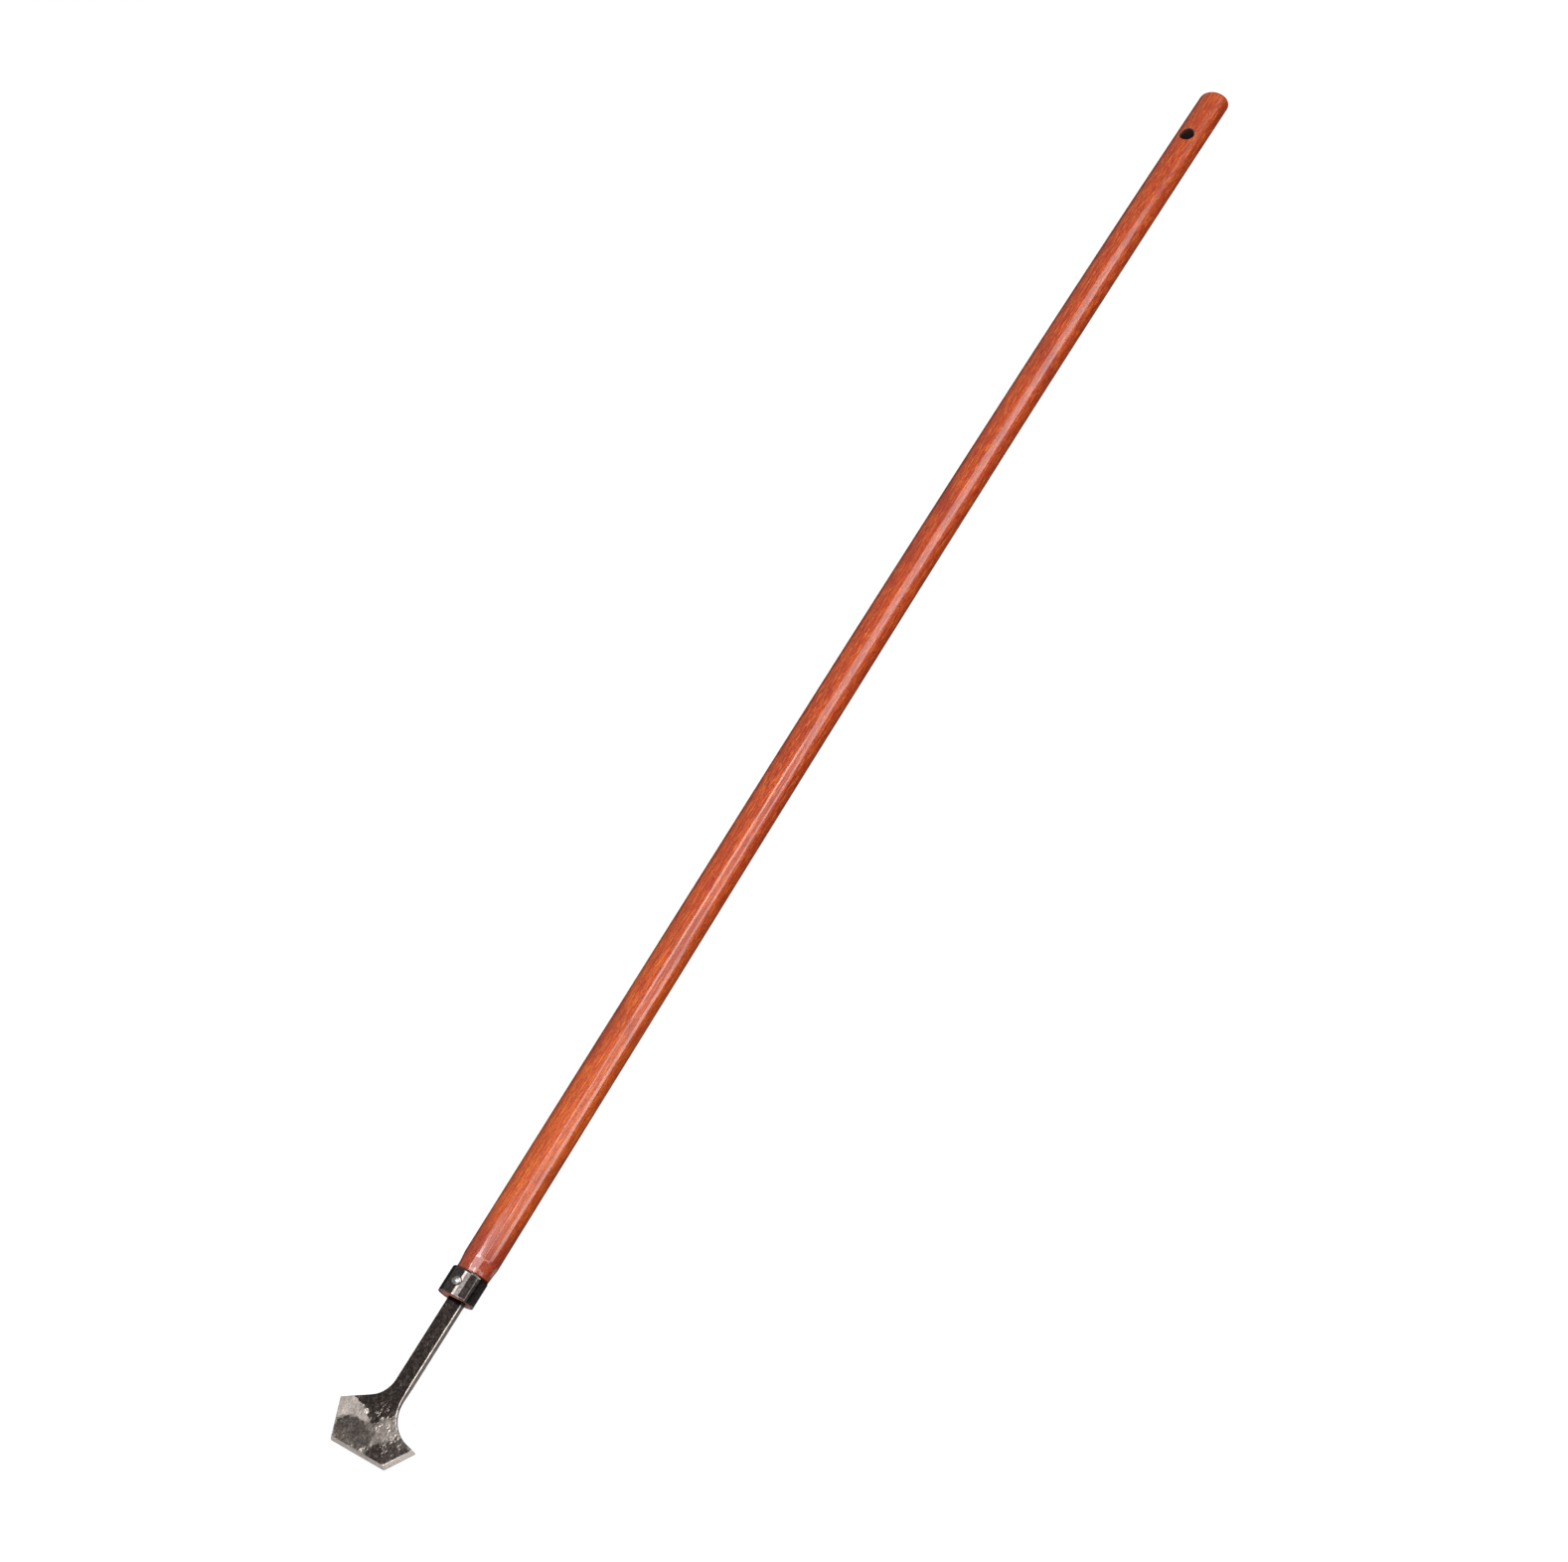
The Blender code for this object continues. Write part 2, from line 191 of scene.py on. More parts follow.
def mesh_object(name, verts, faces, sharp_degrees=38.0):
    mesh = bpy.data.meshes.new(name)
    mesh.from_pydata([tuple(v) for v in verts], [], faces)
    bm = bmesh.new()
    bm.from_mesh(mesh)
    bmesh.ops.remove_doubles(bm, verts=bm.verts, dist=2e-7)
    bmesh.ops.recalc_face_normals(bm, faces=bm.faces)
    bm.to_mesh(mesh)
    bm.free()
    obj = new_object(name, mesh)
    shade(obj, sharp_degrees)
    return obj


def shade(obj, sharp_degrees):
    obj.data.shade_smooth()
    obj.data.set_sharp_from_angle(angle=math.radians(sharp_degrees))


def tube_faces(rings, sides, first=0):
    """Quads between the rings of a tube."""
    faces = []
    for i in range(rings - 1):
        low = first + i * sides
        for k in range(sides):
            after = (k + 1) % sides
            faces.append((low + k, low + after, low + sides + after, low + sides + k))
    return faces


def cut(target, *cutters):
    """Takes the cutters out of the target for good. The cut faces take the cutters' material number."""
    for cutter in cutters:
        modifier = target.modifiers.new("cut", "BOOLEAN")
        modifier.operation = "DIFFERENCE"
        modifier.solver = "EXACT"
        modifier.object = cutter
    bpy.context.view_layer.update()
    evaluated = target.evaluated_get(bpy.context.evaluated_depsgraph_get())
    mesh = bpy.data.meshes.new_from_object(evaluated)
    target.modifiers.clear()
    old = target.data
    target.data = mesh
    bpy.data.meshes.remove(old)
    mesh.name = target.name
    for cutter in cutters:
        bpy.data.objects.remove(cutter)


def points_of(obj):
    co = np.empty(len(obj.data.vertices) * 3, np.float32)
    obj.data.vertices.foreach_get("co", co)
    return co.reshape(-1, 3).astype(float)


def set_points(obj, points):
    obj.data.vertices.foreach_set("co", points.astype(np.float32).ravel())
    obj.data.update()


def paint(obj, name, values):
    """A number for each point of the mesh, which the material reads by name."""
    layer = obj.data.attributes.new(name, "FLOAT", "POINT")
    layer.data.foreach_set("value", np.clip(values, 0.0, 1.0).astype(np.float32))


def lathe_cutter(name, stations, place, turn, sides, material_index, oval=(1.0, 1.0), lean=0.0):
    """A closed cutter round Z from (radius, height) stations, where height may be a function of x and y.
    It is turned about X. An oval stretches it by two factors, the first along a line that leans from X."""
    verts = []
    for radius, height in stations:
        for k in range(sides):
            angle = 2.0 * math.pi * k / sides
            long = radius * oval[0] * math.cos(angle)
            short = radius * oval[1] * math.sin(angle)
            x = long * math.cos(lean) - short * math.sin(lean)
            y = long * math.sin(lean) + short * math.cos(lean)
            verts.append((x, y, height(x, y) if callable(height) else height))
    faces = tube_faces(len(stations), sides)
    faces.append(tuple(range(sides)))
    faces.append(tuple(range(len(verts) - sides, len(verts))))
    cutter = mesh_object(name, verts, faces)
    cutter.matrix_world = Matrix.Translation(place) @ Matrix.Rotation(turn, 4, "X")
    cutter.hide_render = True
    for polygon in cutter.data.polygons:
        polygon.material_index = material_index
    return cutter


# ---- materials ----


class Nodes:
    """A material's node tree with short calls for the nodes used here."""

    def __init__(self, name):
        self.material = bpy.data.materials.new(name)
        self.material.use_nodes = True
        self.tree = self.material.node_tree
        self.shader = self.tree.nodes["Principled BSDF"]
        self.place = self.add("TexCoord").outputs["Object"]

    def join(self, value, socket):
        if isinstance(value, bpy.types.NodeSocket):
            self.tree.links.new(value, socket)
        elif isinstance(value, (tuple, list)) and len(value) == 3 and socket.type == "RGBA":
            socket.default_value = (*value, 1.0)
        else:
            socket.default_value = value

    def set(self, name, value):
        self.join(value, self.shader.inputs[name])

    def maths(self, operation, *values, clamp=False):
        node = self.add("Math")
        node.operation = operation
        node.use_clamp = clamp
        for value, socket in zip(values, node.inputs):
            self.join(value, socket)
        return node.outputs[0]

    def add(self, kind, **inputs):
        """A new node, with inputs linked or set by name."""
        node = self.tree.nodes.new("ShaderNode" + kind)
        for name, value in inputs.items():
            self.join(value, node.inputs[name])
        return node

    def stretch(self, scale, turn=(0.0, 0.0, 0.0), source=None):
        """The place scaled by axis, so a texture is drawn out where the scale is small."""
        return self.add("Mapping", Vector=source or self.place, Rotation=turn, Scale=scale).outputs[0]

    def warped(self, scale, amount):
        """The place moved about by a noise, so a regular texture on it turns uneven."""
        noise = self.add("TexNoise", Vector=self.place, Scale=scale)
        moved = self.add("VectorMath")
        moved.operation = "MULTIPLY_ADD"
        terms = (noise.outputs["Color"], (amount, amount, amount), self.place)
        for value, socket in zip(terms, moved.inputs):
            self.join(value, socket)
        return moved.outputs[0]

    def split(self, vector):
        return self.add("SeparateXYZ", Vector=vector).outputs

    def noise(self, vector, scale, detail=3.0, rough=0.5, distortion=0.0):
        shape = {"Detail": detail, "Roughness": rough, "Distortion": distortion}
        return self.add("TexNoise", Vector=vector, Scale=scale, **shape).outputs["Fac"]

    def cells(self, vector):
        """The distance to the nearest of a crowd of random points, about one to each unit."""
        return self.add("TexVoronoi", Vector=vector, Scale=1.0).outputs["Distance"]

    def level(self, value, start, end, low=0.0, high=1.0):
        """Maps start..end to low..high, and holds the ends."""
        node = self.add("MapRange")
        node.interpolation_type = "SMOOTHSTEP"
        for item, socket in zip((value, start, end, low, high), node.inputs):
            self.join(item, socket)
        return node.outputs[0]

    def blend(self, share, a, b):
        """Colour a where share is 0, and b where it is 1."""
        node = self.add("Mix")
        node.data_type = "RGBA"
        self.join(share, node.inputs[0])
        self.join(a, node.inputs[6])
        self.join(b, node.inputs[7])
        return node.outputs[2]

    def value(self, name):
        """A number that the mesh holds for each of its points."""
        node = self.add("Attribute")
        node.attribute_name = name
        return node.outputs["Fac"]

    def bump(self, height, strength, distance, before=None):
        node = self.add("Bump", Strength=strength, Distance=distance, Height=height)
        if before is not None:
            self.join(before, node.inputs["Normal"])
        return node.outputs[0]


def wood_grain(nodes):
    """The stained wood's long streaks, fine streaks, narrow bands, broad patches and pores."""
    streaks = nodes.noise(nodes.stretch((32.0, 1450.0, 1450.0)), 1.0, 4.0, 0.65, 0.1)
    fine = nodes.noise(nodes.stretch((85.0, 2400.0, 2400.0)), 1.0, 2.0, 0.5)
    bands = nodes.noise(nodes.stretch((6.0, 420.0, 420.0)), 1.0, 2.0, 0.5)
    patches = nodes.noise(nodes.stretch((22.0, 45.0, 45.0)), 1.0, 2.0, 0.5, 0.4)
    pores = nodes.noise(nodes.stretch((380.0, 1900.0, 1900.0)), 1.0, 1.0, 0.4)
    return streaks, fine, bands, patches, pores


def stained_wood():
    nodes = Nodes("stained_wood")
    streaks, fine, bands, patches, pores = wood_grain(nodes)
    along = nodes.split(nodes.place)[0]
    neck = nodes.level(along, -0.500, -0.555)
    pale = nodes.maths("MULTIPLY", nodes.level(along, -0.05, -0.42), nodes.maths("SUBTRACT", 1.0, neck))
    red = nodes.blend(pale, (0.215, 0.0145, 0.0026), (0.275, 0.0255, 0.0040))
    orange = nodes.blend(pale, (0.345, 0.0410, 0.0038), (0.42, 0.0740, 0.0068))
    colour = nodes.blend(nodes.level(streaks, 0.42, 0.58), red, orange)
    colour = nodes.blend(nodes.level(fine, 0.53, 0.66, 0.0, 0.75), colour, (0.60, 0.160, 0.016))
    colour = nodes.blend(nodes.level(bands, 0.45, 0.68, 0.0, 0.30), colour, (0.22, 0.016, 0.004))
    colour = nodes.blend(nodes.level(patches, 0.52, 0.74, 0.0, 0.45), colour, (0.18, 0.015, 0.006))
    colour = nodes.blend(nodes.maths("MULTIPLY", neck, 0.55), colour, (0.20, 0.022, 0.009))
    colour = nodes.blend(nodes.level(pores, 0.58, 0.68, 0.0, 0.70), colour, (0.05, 0.009, 0.006))
    nodes.set("Base Color", colour)
    nodes.set("Roughness", nodes.level(fine, 0.3, 0.7, 0.40, 0.55))
    nodes.set("Specular IOR Level", 0.12)
    nodes.set("Coat Weight", 1.0)
    nodes.set("Coat Roughness", 0.08)
    relief = nodes.bump(streaks, 0.5, 0.00003)
    relief = nodes.bump(fine, 0.5, 0.00002, relief)
    relief = nodes.bump(pores, -0.5, 0.00003, relief)
    splits = nodes.maths("MULTIPLY", nodes.maths("ADD", streaks, fine), nodes.value("frayed"))
    relief = nodes.bump(splits, 0.8, 0.00038, relief)
    nodes.set("Normal", relief)
    return nodes.material


def shaded_bore_wood():
    """The wall of a drilled hole: stained wood, painted near black as painted shade for the inside of the
    hole.
    """
    nodes = Nodes("shaded_bore_wood")
    speckle = nodes.noise(nodes.stretch((300.0, 1500.0, 1500.0)), 1.0, 3.0, 0.6)
    colour = nodes.blend(nodes.level(speckle, 0.35, 0.70), (0.006, 0.002, 0.002), (0.050, 0.011, 0.008))
    nodes.set("Base Color", colour)
    nodes.set("Roughness", nodes.level(speckle, 0.3, 0.7, 0.55, 0.75))
    nodes.set("Normal", nodes.bump(speckle, 0.6, 0.0004))
    return nodes.material


def end_grain():
    """The pale pink end of the wood inside the ferrule."""
    nodes = Nodes("end_grain")
    pores = nodes.cells(nodes.stretch((400.0, 2200.0, 2200.0)))
    cloud = nodes.noise(nodes.place, 420.0, 3.0)
    colour = nodes.blend(nodes.level(cloud, 0.35, 0.65), (0.62, 0.20, 0.15), (0.80, 0.34, 0.27))
    colour = nodes.blend(nodes.level(pores, 0.30, 0.05, 0.0, 0.6), colour, (0.15, 0.03, 0.02))
    nodes.set("Base Color", colour)
    nodes.set("Roughness", nodes.level(cloud, 0.3, 0.7, 0.6, 0.8))
    nodes.set("Normal", nodes.bump(pores, 0.5, 0.0003))
    return nodes.material


RUST = (0.20, 0.115, 0.075)
# Near black, painted on the shank just below the ferrule's rim as the shadow that falls there
PAINTED_SHADE_BLACK = (0.004, 0.003, 0.003)


def steel(name, dark, bright, dark_rough, bright_rough, scratch_turn, texture=1.0):
    """Blackened steel that turns to bare ground metal where the mesh's "bare" value is high. Its "rust" value
    browns it, a painted shadow value blacks it, and "spatter" raises ridges. Texture is how strong the fine
    relief is."""
    nodes = Nodes(name)
    bare = nodes.value("bare")
    rust = nodes.value("rust")
    mottle = nodes.noise(nodes.place, 420.0, 4.0, 0.6)
    specks = nodes.noise(nodes.place, 1900.0, 2.0, 0.6)
    scratches = nodes.noise(nodes.stretch((260.0, 4200.0, 900.0), scratch_turn), 1.0, 3.0, 0.6)
    shade_dark = nodes.blend(nodes.level(mottle, 0.38, 0.66), dark, [c * 1.9 for c in dark])
    shade_bright = nodes.blend(nodes.level(scratches, 0.35, 0.65), [c * 0.55 for c in bright], bright)
    edge = nodes.maths("ADD", bare, nodes.maths("MULTIPLY", nodes.maths("SUBTRACT", mottle, 0.5), 0.24))
    share = nodes.level(edge, 0.04, 0.96)
    colour = nodes.blend(share, shade_dark, shade_bright)
    brown = nodes.maths("MULTIPLY", rust, nodes.level(specks, 0.50, 0.68))
    colour = nodes.blend(brown, colour, RUST)
    nodes.set("Base Color", nodes.blend(nodes.value("painted_shade"), colour, PAINTED_SHADE_BLACK))
    nodes.set("Metallic", nodes.maths("SUBTRACT", 1.0, nodes.maths("MULTIPLY", brown, 0.8)))
    rough = nodes.level(share, 0.0, 1.0, dark_rough, bright_rough)
    spread = nodes.maths("MULTIPLY", nodes.maths("SUBTRACT", mottle, 0.5), 0.25 * texture)
    nodes.set("Roughness", nodes.maths("ADD", rough, spread, clamp=True))
    warped = nodes.warped(275.0, 0.0028)
    bubbles = nodes.cells(nodes.stretch((280.0, 280.0, 280.0), source=warped))
    ridge = nodes.maths("MULTIPLY", nodes.level(bubbles, 0.12, 0.42), nodes.level(bubbles, 0.75, 0.50))
    crowd = nodes.level(nodes.noise(nodes.place, 170.0, 1.0), 0.42, 0.60)
    lumps = nodes.maths("MULTIPLY", nodes.value("spatter"), crowd)
    relief = nodes.bump(nodes.maths("MULTIPLY", ridge, lumps), 0.6, 0.00030)
    relief = nodes.bump(mottle, 0.5, 0.000015 * texture, relief)
    relief = nodes.bump(scratches, 0.5, 0.00001 * texture, relief)
    relief = nodes.bump(specks, 0.5, 0.00001 * texture, relief)
    nodes.set("Normal", relief)
    return nodes.material


# ---- handle ----

# Places in the handle's list of materials
STAINED_INDEX, BORE_INDEX, END_GRAIN_INDEX = range(3)


def spine_y(u):
    q = u / HANDLE_LENGTH
    bow = 4.0 * BOW * q * (1.0 - q) * (1.0 + BOW_TOWARDS_GRIP * (q - 0.5))
    return mix(SPINE_START_Y, SPINE_END_Y, q) + bow


def shaft_radius(u):
    taper = mix(HANDLE_RADIUS, GRIP_RADIUS, (u - NECK_END) / (HANDLE_LENGTH - NECK_END))
    return mix(NECK_RADIUS, taper, smooth(u, NECK_START, NECK_END))


def shaft_skew(u):
    at_ferrule = FERRULE_SKEW * (1.0 - smooth(u, FERRULE_LENGTH, NECK_END))
    return at_ferrule + END_SKEW * smooth(u, HANDLE_LENGTH - END_SKEW_RUN, HANDLE_LENGTH)


def knife_cuts(u, angle, radius):
    """Flats left by the knife that fitted the wood to the ferrule, running out up the handle."""
    rng = np.random.default_rng(11)
    flats = [WIDEST_FLAT]
    for k in range(KNIFE_CUTS):
        middle = 2.0 * math.pi * (k + rng.uniform(-0.35, 0.35)) / KNIFE_CUTS
        flats.append((middle, rng.uniform(0.00015, 0.00055), rng.uniform(0.007, 0.017)))
    for middle, depth, length in flats:
        fade = 1.0 - smooth(u, FERRULE_LENGTH, FERRULE_LENGTH + length)
        away = np.abs(np.remainder(angle - middle + math.pi, 2.0 * math.pi) - math.pi)
        flat = (radius - depth * fade) / np.maximum(np.cos(away), 0.5)
        radius = np.where(fade > 0.0, np.minimum(radius, flat), radius)
    return radius


def handle_stations():
    """Where the handle's rings stand along u, closest at the neck."""
    neck = np.arange(FERRULE_LENGTH + 2 * GAP, NECK_END + 0.004, 0.0005)
    run = np.arange(NECK_END + 0.004, HANDLE_LENGTH - END_SKEW_RUN, 0.003)
    end = np.arange(HANDLE_LENGTH - END_SKEW_RUN, HANDLE_LENGTH - END_ROUND, 0.0015)
    return np.concatenate([neck, run, end])


def build_handle():
    sides = 160
    angle = 2.0 * math.pi * np.arange(sides) / sides
    rings = []

    def ring(u, middle, radius, skew):
        across = radius * np.cos(angle)
        x = HANDLE_X + u - skew * across
        rings.append(np.stack([x, middle + across, AXIS_HEIGHT + radius * np.sin(angle)], axis=1))

    full = np.ones(sides)
    for u in (0.0005, 0.008, 0.016, FERRULE_LENGTH + GAP):
        ring(u, FERRULE_Y, SEAT_RADIUS * full, FERRULE_SKEW)
    around = np.stack([np.cos(angle), np.sin(angle)], axis=1)
    ragged = 0.0008 * np.abs(uneven(around, 5, 0.5, 0.06, 40))
    for u in handle_stations():
        where = np.stack([np.full(sides, u / 0.12), around[:, 0], around[:, 1]], axis=1)
        radius = shaft_radius(u) + 0.00007 * uneven(where, 3, 6.0, 1.2)
        radius = knife_cuts(u, angle, radius)
        lift = ragged * (1.0 - smooth(u, FERRULE_LENGTH, FERRULE_LENGTH + 0.003))
        ring(u + lift, spine_y(u), radius, shaft_skew(u))
    steps = 9
    for k in range(steps + 1):
        turn = 0.5 * math.pi * k / steps
        u = HANDLE_LENGTH - END_ROUND + END_ROUND * math.sin(turn)
        radius = shaft_radius(u) - END_ROUND + END_ROUND * math.cos(turn)
        ring(u, spine_y(u), radius * full, shaft_skew(u))
    last = rings[-1]
    centre = last.mean(axis=0)
    for share in (0.75, 0.5, 0.25):
        rings.append(mix(centre, last, share))

    verts = np.concatenate(rings + [centre[None, :]])
    faces = tube_faces(len(rings), sides)
    tip = len(verts) - 1
    edge = tip - sides
    faces += [(edge + k, edge + (k + 1) % sides, tip) for k in range(sides)]
    faces.append(tuple(range(sides)))
    handle = mesh_object("turned_handle", verts, faces)
    for material in (stained_wood(), shaded_bore_wood(), end_grain()):
        handle.data.materials.append(material)
    for polygon in handle.data.polygons:
        if abs(polygon.normal.x) > 0.9 and polygon.center.x < HANDLE_X + 0.002:
            polygon.material_index = END_GRAIN_INDEX

    hole_u = HANDLE_LENGTH - HANG_HOLE_FROM_END
    radius = float(shaft_radius(hole_u))
    place = (HANDLE_X + hole_u, spine_y(hole_u), AXIS_HEIGHT)
    mortise = mortise_cutter()
    mouth = mouth_stations(radius)
    oval, lean = HANG_HOLE_OVAL, HANG_HOLE_LEAN
    hole = lathe_cutter("hang_hole", mouth, place, HANG_HOLE_TURN, 64, BORE_INDEX, oval, lean)
    cut(handle, mortise, hole, rivet_hole("wood_rivet_hole"))
    shade(handle, 38.0)
    u = points_of(handle)[:, 0] - HANDLE_X
    paint(handle, "frayed", 1.0 - smooth(u, NECK_START, NECK_END + 0.024))
    return handle


def mouth_stations(surface_radius):
    """A drilled hole whose mouth is worn round where it meets the turned surface, at both ends."""
    bottom = []
    for k in range(8):
        turn = math.radians(80.0) * k / 7
        radius = HANG_HOLE_RADIUS + HANG_HOLE_MOUTH * (1.0 - math.cos(turn))
        depth = HANG_HOLE_MOUTH * (1.0 - math.sin(turn))
        bottom.append((radius, depth))
    bottom.append((bottom[-1][0] + 0.0012, bottom[-1][1] - 0.0008))
    clear = surface_radius + 0.002

    def on_surface(depth, side):
        return lambda x, y: side * (math.sqrt(surface_radius**2 - y**2) - depth)

    low = [(radius, on_surface(depth, -1.0)) for radius, depth in reversed(bottom)]
    high = [(radius, on_surface(depth, 1.0)) for radius, depth in bottom]
    return [(bottom[-1][0], -clear)] + low + high + [(bottom[-1][0], clear)]


def mortise_cutter():
    """The tapering square hole that the tang fills, with a little room round it."""
    ends = (
        (-0.010, SHANK_WIDTH, SHANK_THICKNESS),
        (0.0, SHANK_WIDTH, SHANK_THICKNESS),
        (TANG_LENGTH + MORTISE_CLEARANCE, TANG_TIP_WIDTH, TANG_TIP_THICKNESS),
    )
    verts = []
    for u, width, thickness in ends:
        y = width / 2 + MORTISE_CLEARANCE
        z = thickness / 2 + MORTISE_CLEARANCE
        corners = ((-y, -z), (y, -z), (y, z), (-y, z))
        verts += [(HANDLE_X + u, HEAD_Y + cy, AXIS_HEIGHT + cz) for cy, cz in corners]
    cutter = mesh_object("mortise", verts, tube_faces(3, 4) + [(0, 1, 2, 3), (8, 9, 10, 11)])
    # Its walls take the bore's near-black painted shade, for the shaded gap round the tang
    for polygon in cutter.data.polygons:
        polygon.material_index = BORE_INDEX
    return cutter


def rivet_hole(name):
    place = (HANDLE_X + FERRULE_LENGTH / 2, FERRULE_Y, AXIS_HEIGHT)
    stations = [(RIVET_RADIUS + GAP, -0.03), (RIVET_RADIUS + GAP, 0.03)]
    return lathe_cutter(name, stations, place, 0.0, 32, STAINED_INDEX)


# ---- ferrule ----


def build_ferrule():
    sides = 192
    outer, inner = FERRULE_RADIUS, FERRULE_RADIUS - FERRULE_WALL
    profile = []
    for k in range(4, -1, -1):
        turn = 0.5 * math.pi * k / 4
        u = FERRULE_RIM_ROUND * (1.0 - math.sin(turn))
        profile.append((u, outer - FERRULE_RIM_ROUND * (1.0 - math.cos(turn))))
    straight = np.linspace(FERRULE_RIM_ROUND, FERRULE_LENGTH - FERRULE_TOP_ROUND, 26)[1:-1]
    profile += [(u, outer) for u in straight]
    for k in range(9):
        turn = 0.5 * math.pi * k / 8
        u = FERRULE_LENGTH - FERRULE_TOP_ROUND * (1.0 - math.sin(turn))
        profile.append((u, outer - FERRULE_TOP_ROUND * (1.0 - math.cos(turn))))
    profile += [(FERRULE_LENGTH, inner + 0.0001), (FERRULE_LENGTH - 0.0002, inner)]
    profile += [(0.011, inner), (0.0003, inner), (0.0, inner + 0.0003)]

    angle = 2.0 * math.pi * np.arange(sides) / sides
    rings = []
    for u, radius in profile:
        where = np.stack([np.full(sides, u / 0.015), np.cos(angle), np.sin(angle)], axis=1)
        dents = 0.000008 * uneven(where, 21, 4.0, 0.9, 40) if radius > inner + 0.0005 else 0.0
        r = radius + dents
        across = r * np.cos(angle)
        x = HANDLE_X + u - FERRULE_SKEW * across
        rings.append(np.stack([x, FERRULE_Y + across, AXIS_HEIGHT + r * np.sin(angle)], axis=1))
    rings.append(rings[0])
    ferrule = mesh_object("rolled_ferrule", np.concatenate(rings), tube_faces(len(rings), sides))
    cut(ferrule, rivet_hole("ferrule_rivet_hole"))
    shade(ferrule, 50.0)

    co = points_of(ferrule)
    u = co[:, 0] - HANDLE_X + FERRULE_SKEW * (co[:, 1] - FERRULE_Y)
    r = np.hypot(co[:, 1] - FERRULE_Y, co[:, 2] - AXIS_HEIGHT)
    turn = np.arctan2(FERRULE_Y - co[:, 1], co[:, 2] - AXIS_HEIGHT)
    rim = (1.0 - smooth(u, 0.0001, 0.0006)) * mix(0.2, 1.0, smooth(np.abs(turn - 0.4), 0.45, 0.85))
    shoulder = smooth(u, FERRULE_LENGTH - 0.0013, FERRULE_LENGTH - 0.0004)
    shoulder = shoulder * smooth(r, inner + 0.0002, outer - 0.0006)
    scuffs = smooth(uneven(co, 33, 0.012, 0.0022, 40), 0.9, 1.6)
    paint(ferrule, "bare", 0.85 * rim + 0.30 * shoulder + 0.22 * scuffs)
    paint(ferrule, "rust", 0.04 * smooth(uneven(co, 34, 0.010, 0.003), 0.2, 1.2))
    dark, bright = (0.066, 0.058, 0.054), (0.55, 0.52, 0.50)
    ferrule.data.materials.append(steel("blackened_steel", dark, bright, 0.07, 0.32, (0.0, 0.0, 0.0), 0.2))
    return ferrule


# ---- rivet ----


def dome(base_radius, height, steps):
    """A spherical cap as (radius, height above its base), from just off the crown to the base."""
    sphere = (base_radius**2 + height**2) / (2.0 * height)
    widest = math.asin(base_radius / sphere)
    angles = [widest * k / steps for k in range(1, steps + 1)]
    return [(sphere * math.sin(a), sphere * math.cos(a) - sphere + height) for a in angles]


def build_rivet():
    sides = 64
    seat = FERRULE_RADIUS + RIVET_SEAT_GAP
    lift = GAP - RIVET_SEAT_GAP
    crown = dome(RIVET_HEAD_RADIUS, RIVET_HEAD_HEIGHT - RIVET_RIM, 16)
    head = [(r, seat + lift + RIVET_RIM + z, 1.0) for r, z in crown]
    head.append((RIVET_HEAD_RADIUS + 0.00004, seat + lift + 0.0002, 1.0))
    head.append((RIVET_HEAD_RADIUS - 0.0001, seat, 1.0))
    peened = dome(RIVET_TAIL_RADIUS, RIVET_TAIL_HEIGHT - RIVET_RIM, 10)
    tail = [(r, -seat - lift - RIVET_RIM - z, -1.0) for r, z in peened]
    tail += [(RIVET_TAIL_RADIUS, -seat - lift - 0.0001, -1.0), (RIVET_TAIL_RADIUS - 0.0001, -seat, -1.0)]
    stem = [(RIVET_RADIUS, seat, 1.0), (RIVET_RADIUS, -seat, -1.0)]
    stations = head + stem + tail[::-1]
    x0, y0 = HANDLE_X + FERRULE_LENGTH / 2, FERRULE_Y
    verts = []
    for radius, height, side in stations:
        for k in range(sides):
            angle = 2.0 * math.pi * k / sides
            x, y = radius * math.cos(angle), radius * math.sin(angle)
            sag = FERRULE_RADIUS - math.sqrt(FERRULE_RADIUS**2 - y**2)
            drop = sag * radius / RIVET_HEAD_RADIUS
            verts.append((x0 + x, y0 + y, AXIS_HEIGHT + height - side * drop))
    faces = tube_faces(len(stations), sides)
    verts.append((x0, y0, AXIS_HEIGHT + seat + lift + RIVET_HEAD_HEIGHT))
    verts.append((x0, y0, AXIS_HEIGHT - seat - lift - RIVET_TAIL_HEIGHT))
    top, bottom = len(verts) - 2, len(verts) - 1
    last = top - sides
    faces += [(k, (k + 1) % sides, top) for k in range(sides)]
    faces += [(last + k, last + (k + 1) % sides, bottom) for k in range(sides)]
    rivet = mesh_object("peened_rivet", verts, faces, 50.0)
    co = points_of(rivet)
    outward = np.abs(co[:, 2] - AXIS_HEIGHT) - FERRULE_RADIUS
    away = np.hypot(co[:, 0] - x0, co[:, 1] - y0)
    dressed = np.where(outward > 0.0, 1.0, 0.0)
    hammer = 0.000018 * uneven(co, 41, 0.004, 0.0014, 40) * dressed
    co[:, 2] += np.sign(co[:, 2] - AXIS_HEIGHT) * hammer
    set_points(rivet, co)
    paint(rivet, "bare", 0.72 - 0.45 * smooth(away, 0.0026, 0.0040) + 0.15 * uneven(co, 42, 0.004, 0.001))
    paint(rivet, "rust", 0.15 * smooth(uneven(co, 43, 0.004, 0.001), 0.3, 1.0))
    dark, bright = (0.10, 0.09, 0.085), (0.50, 0.47, 0.45)
    rivet.data.materials.append(steel("rivet_steel", dark, bright, 0.30, 0.36, (0.0, 0.0, 0.0), 0.5))
    return rivet


# ---- forged head ----


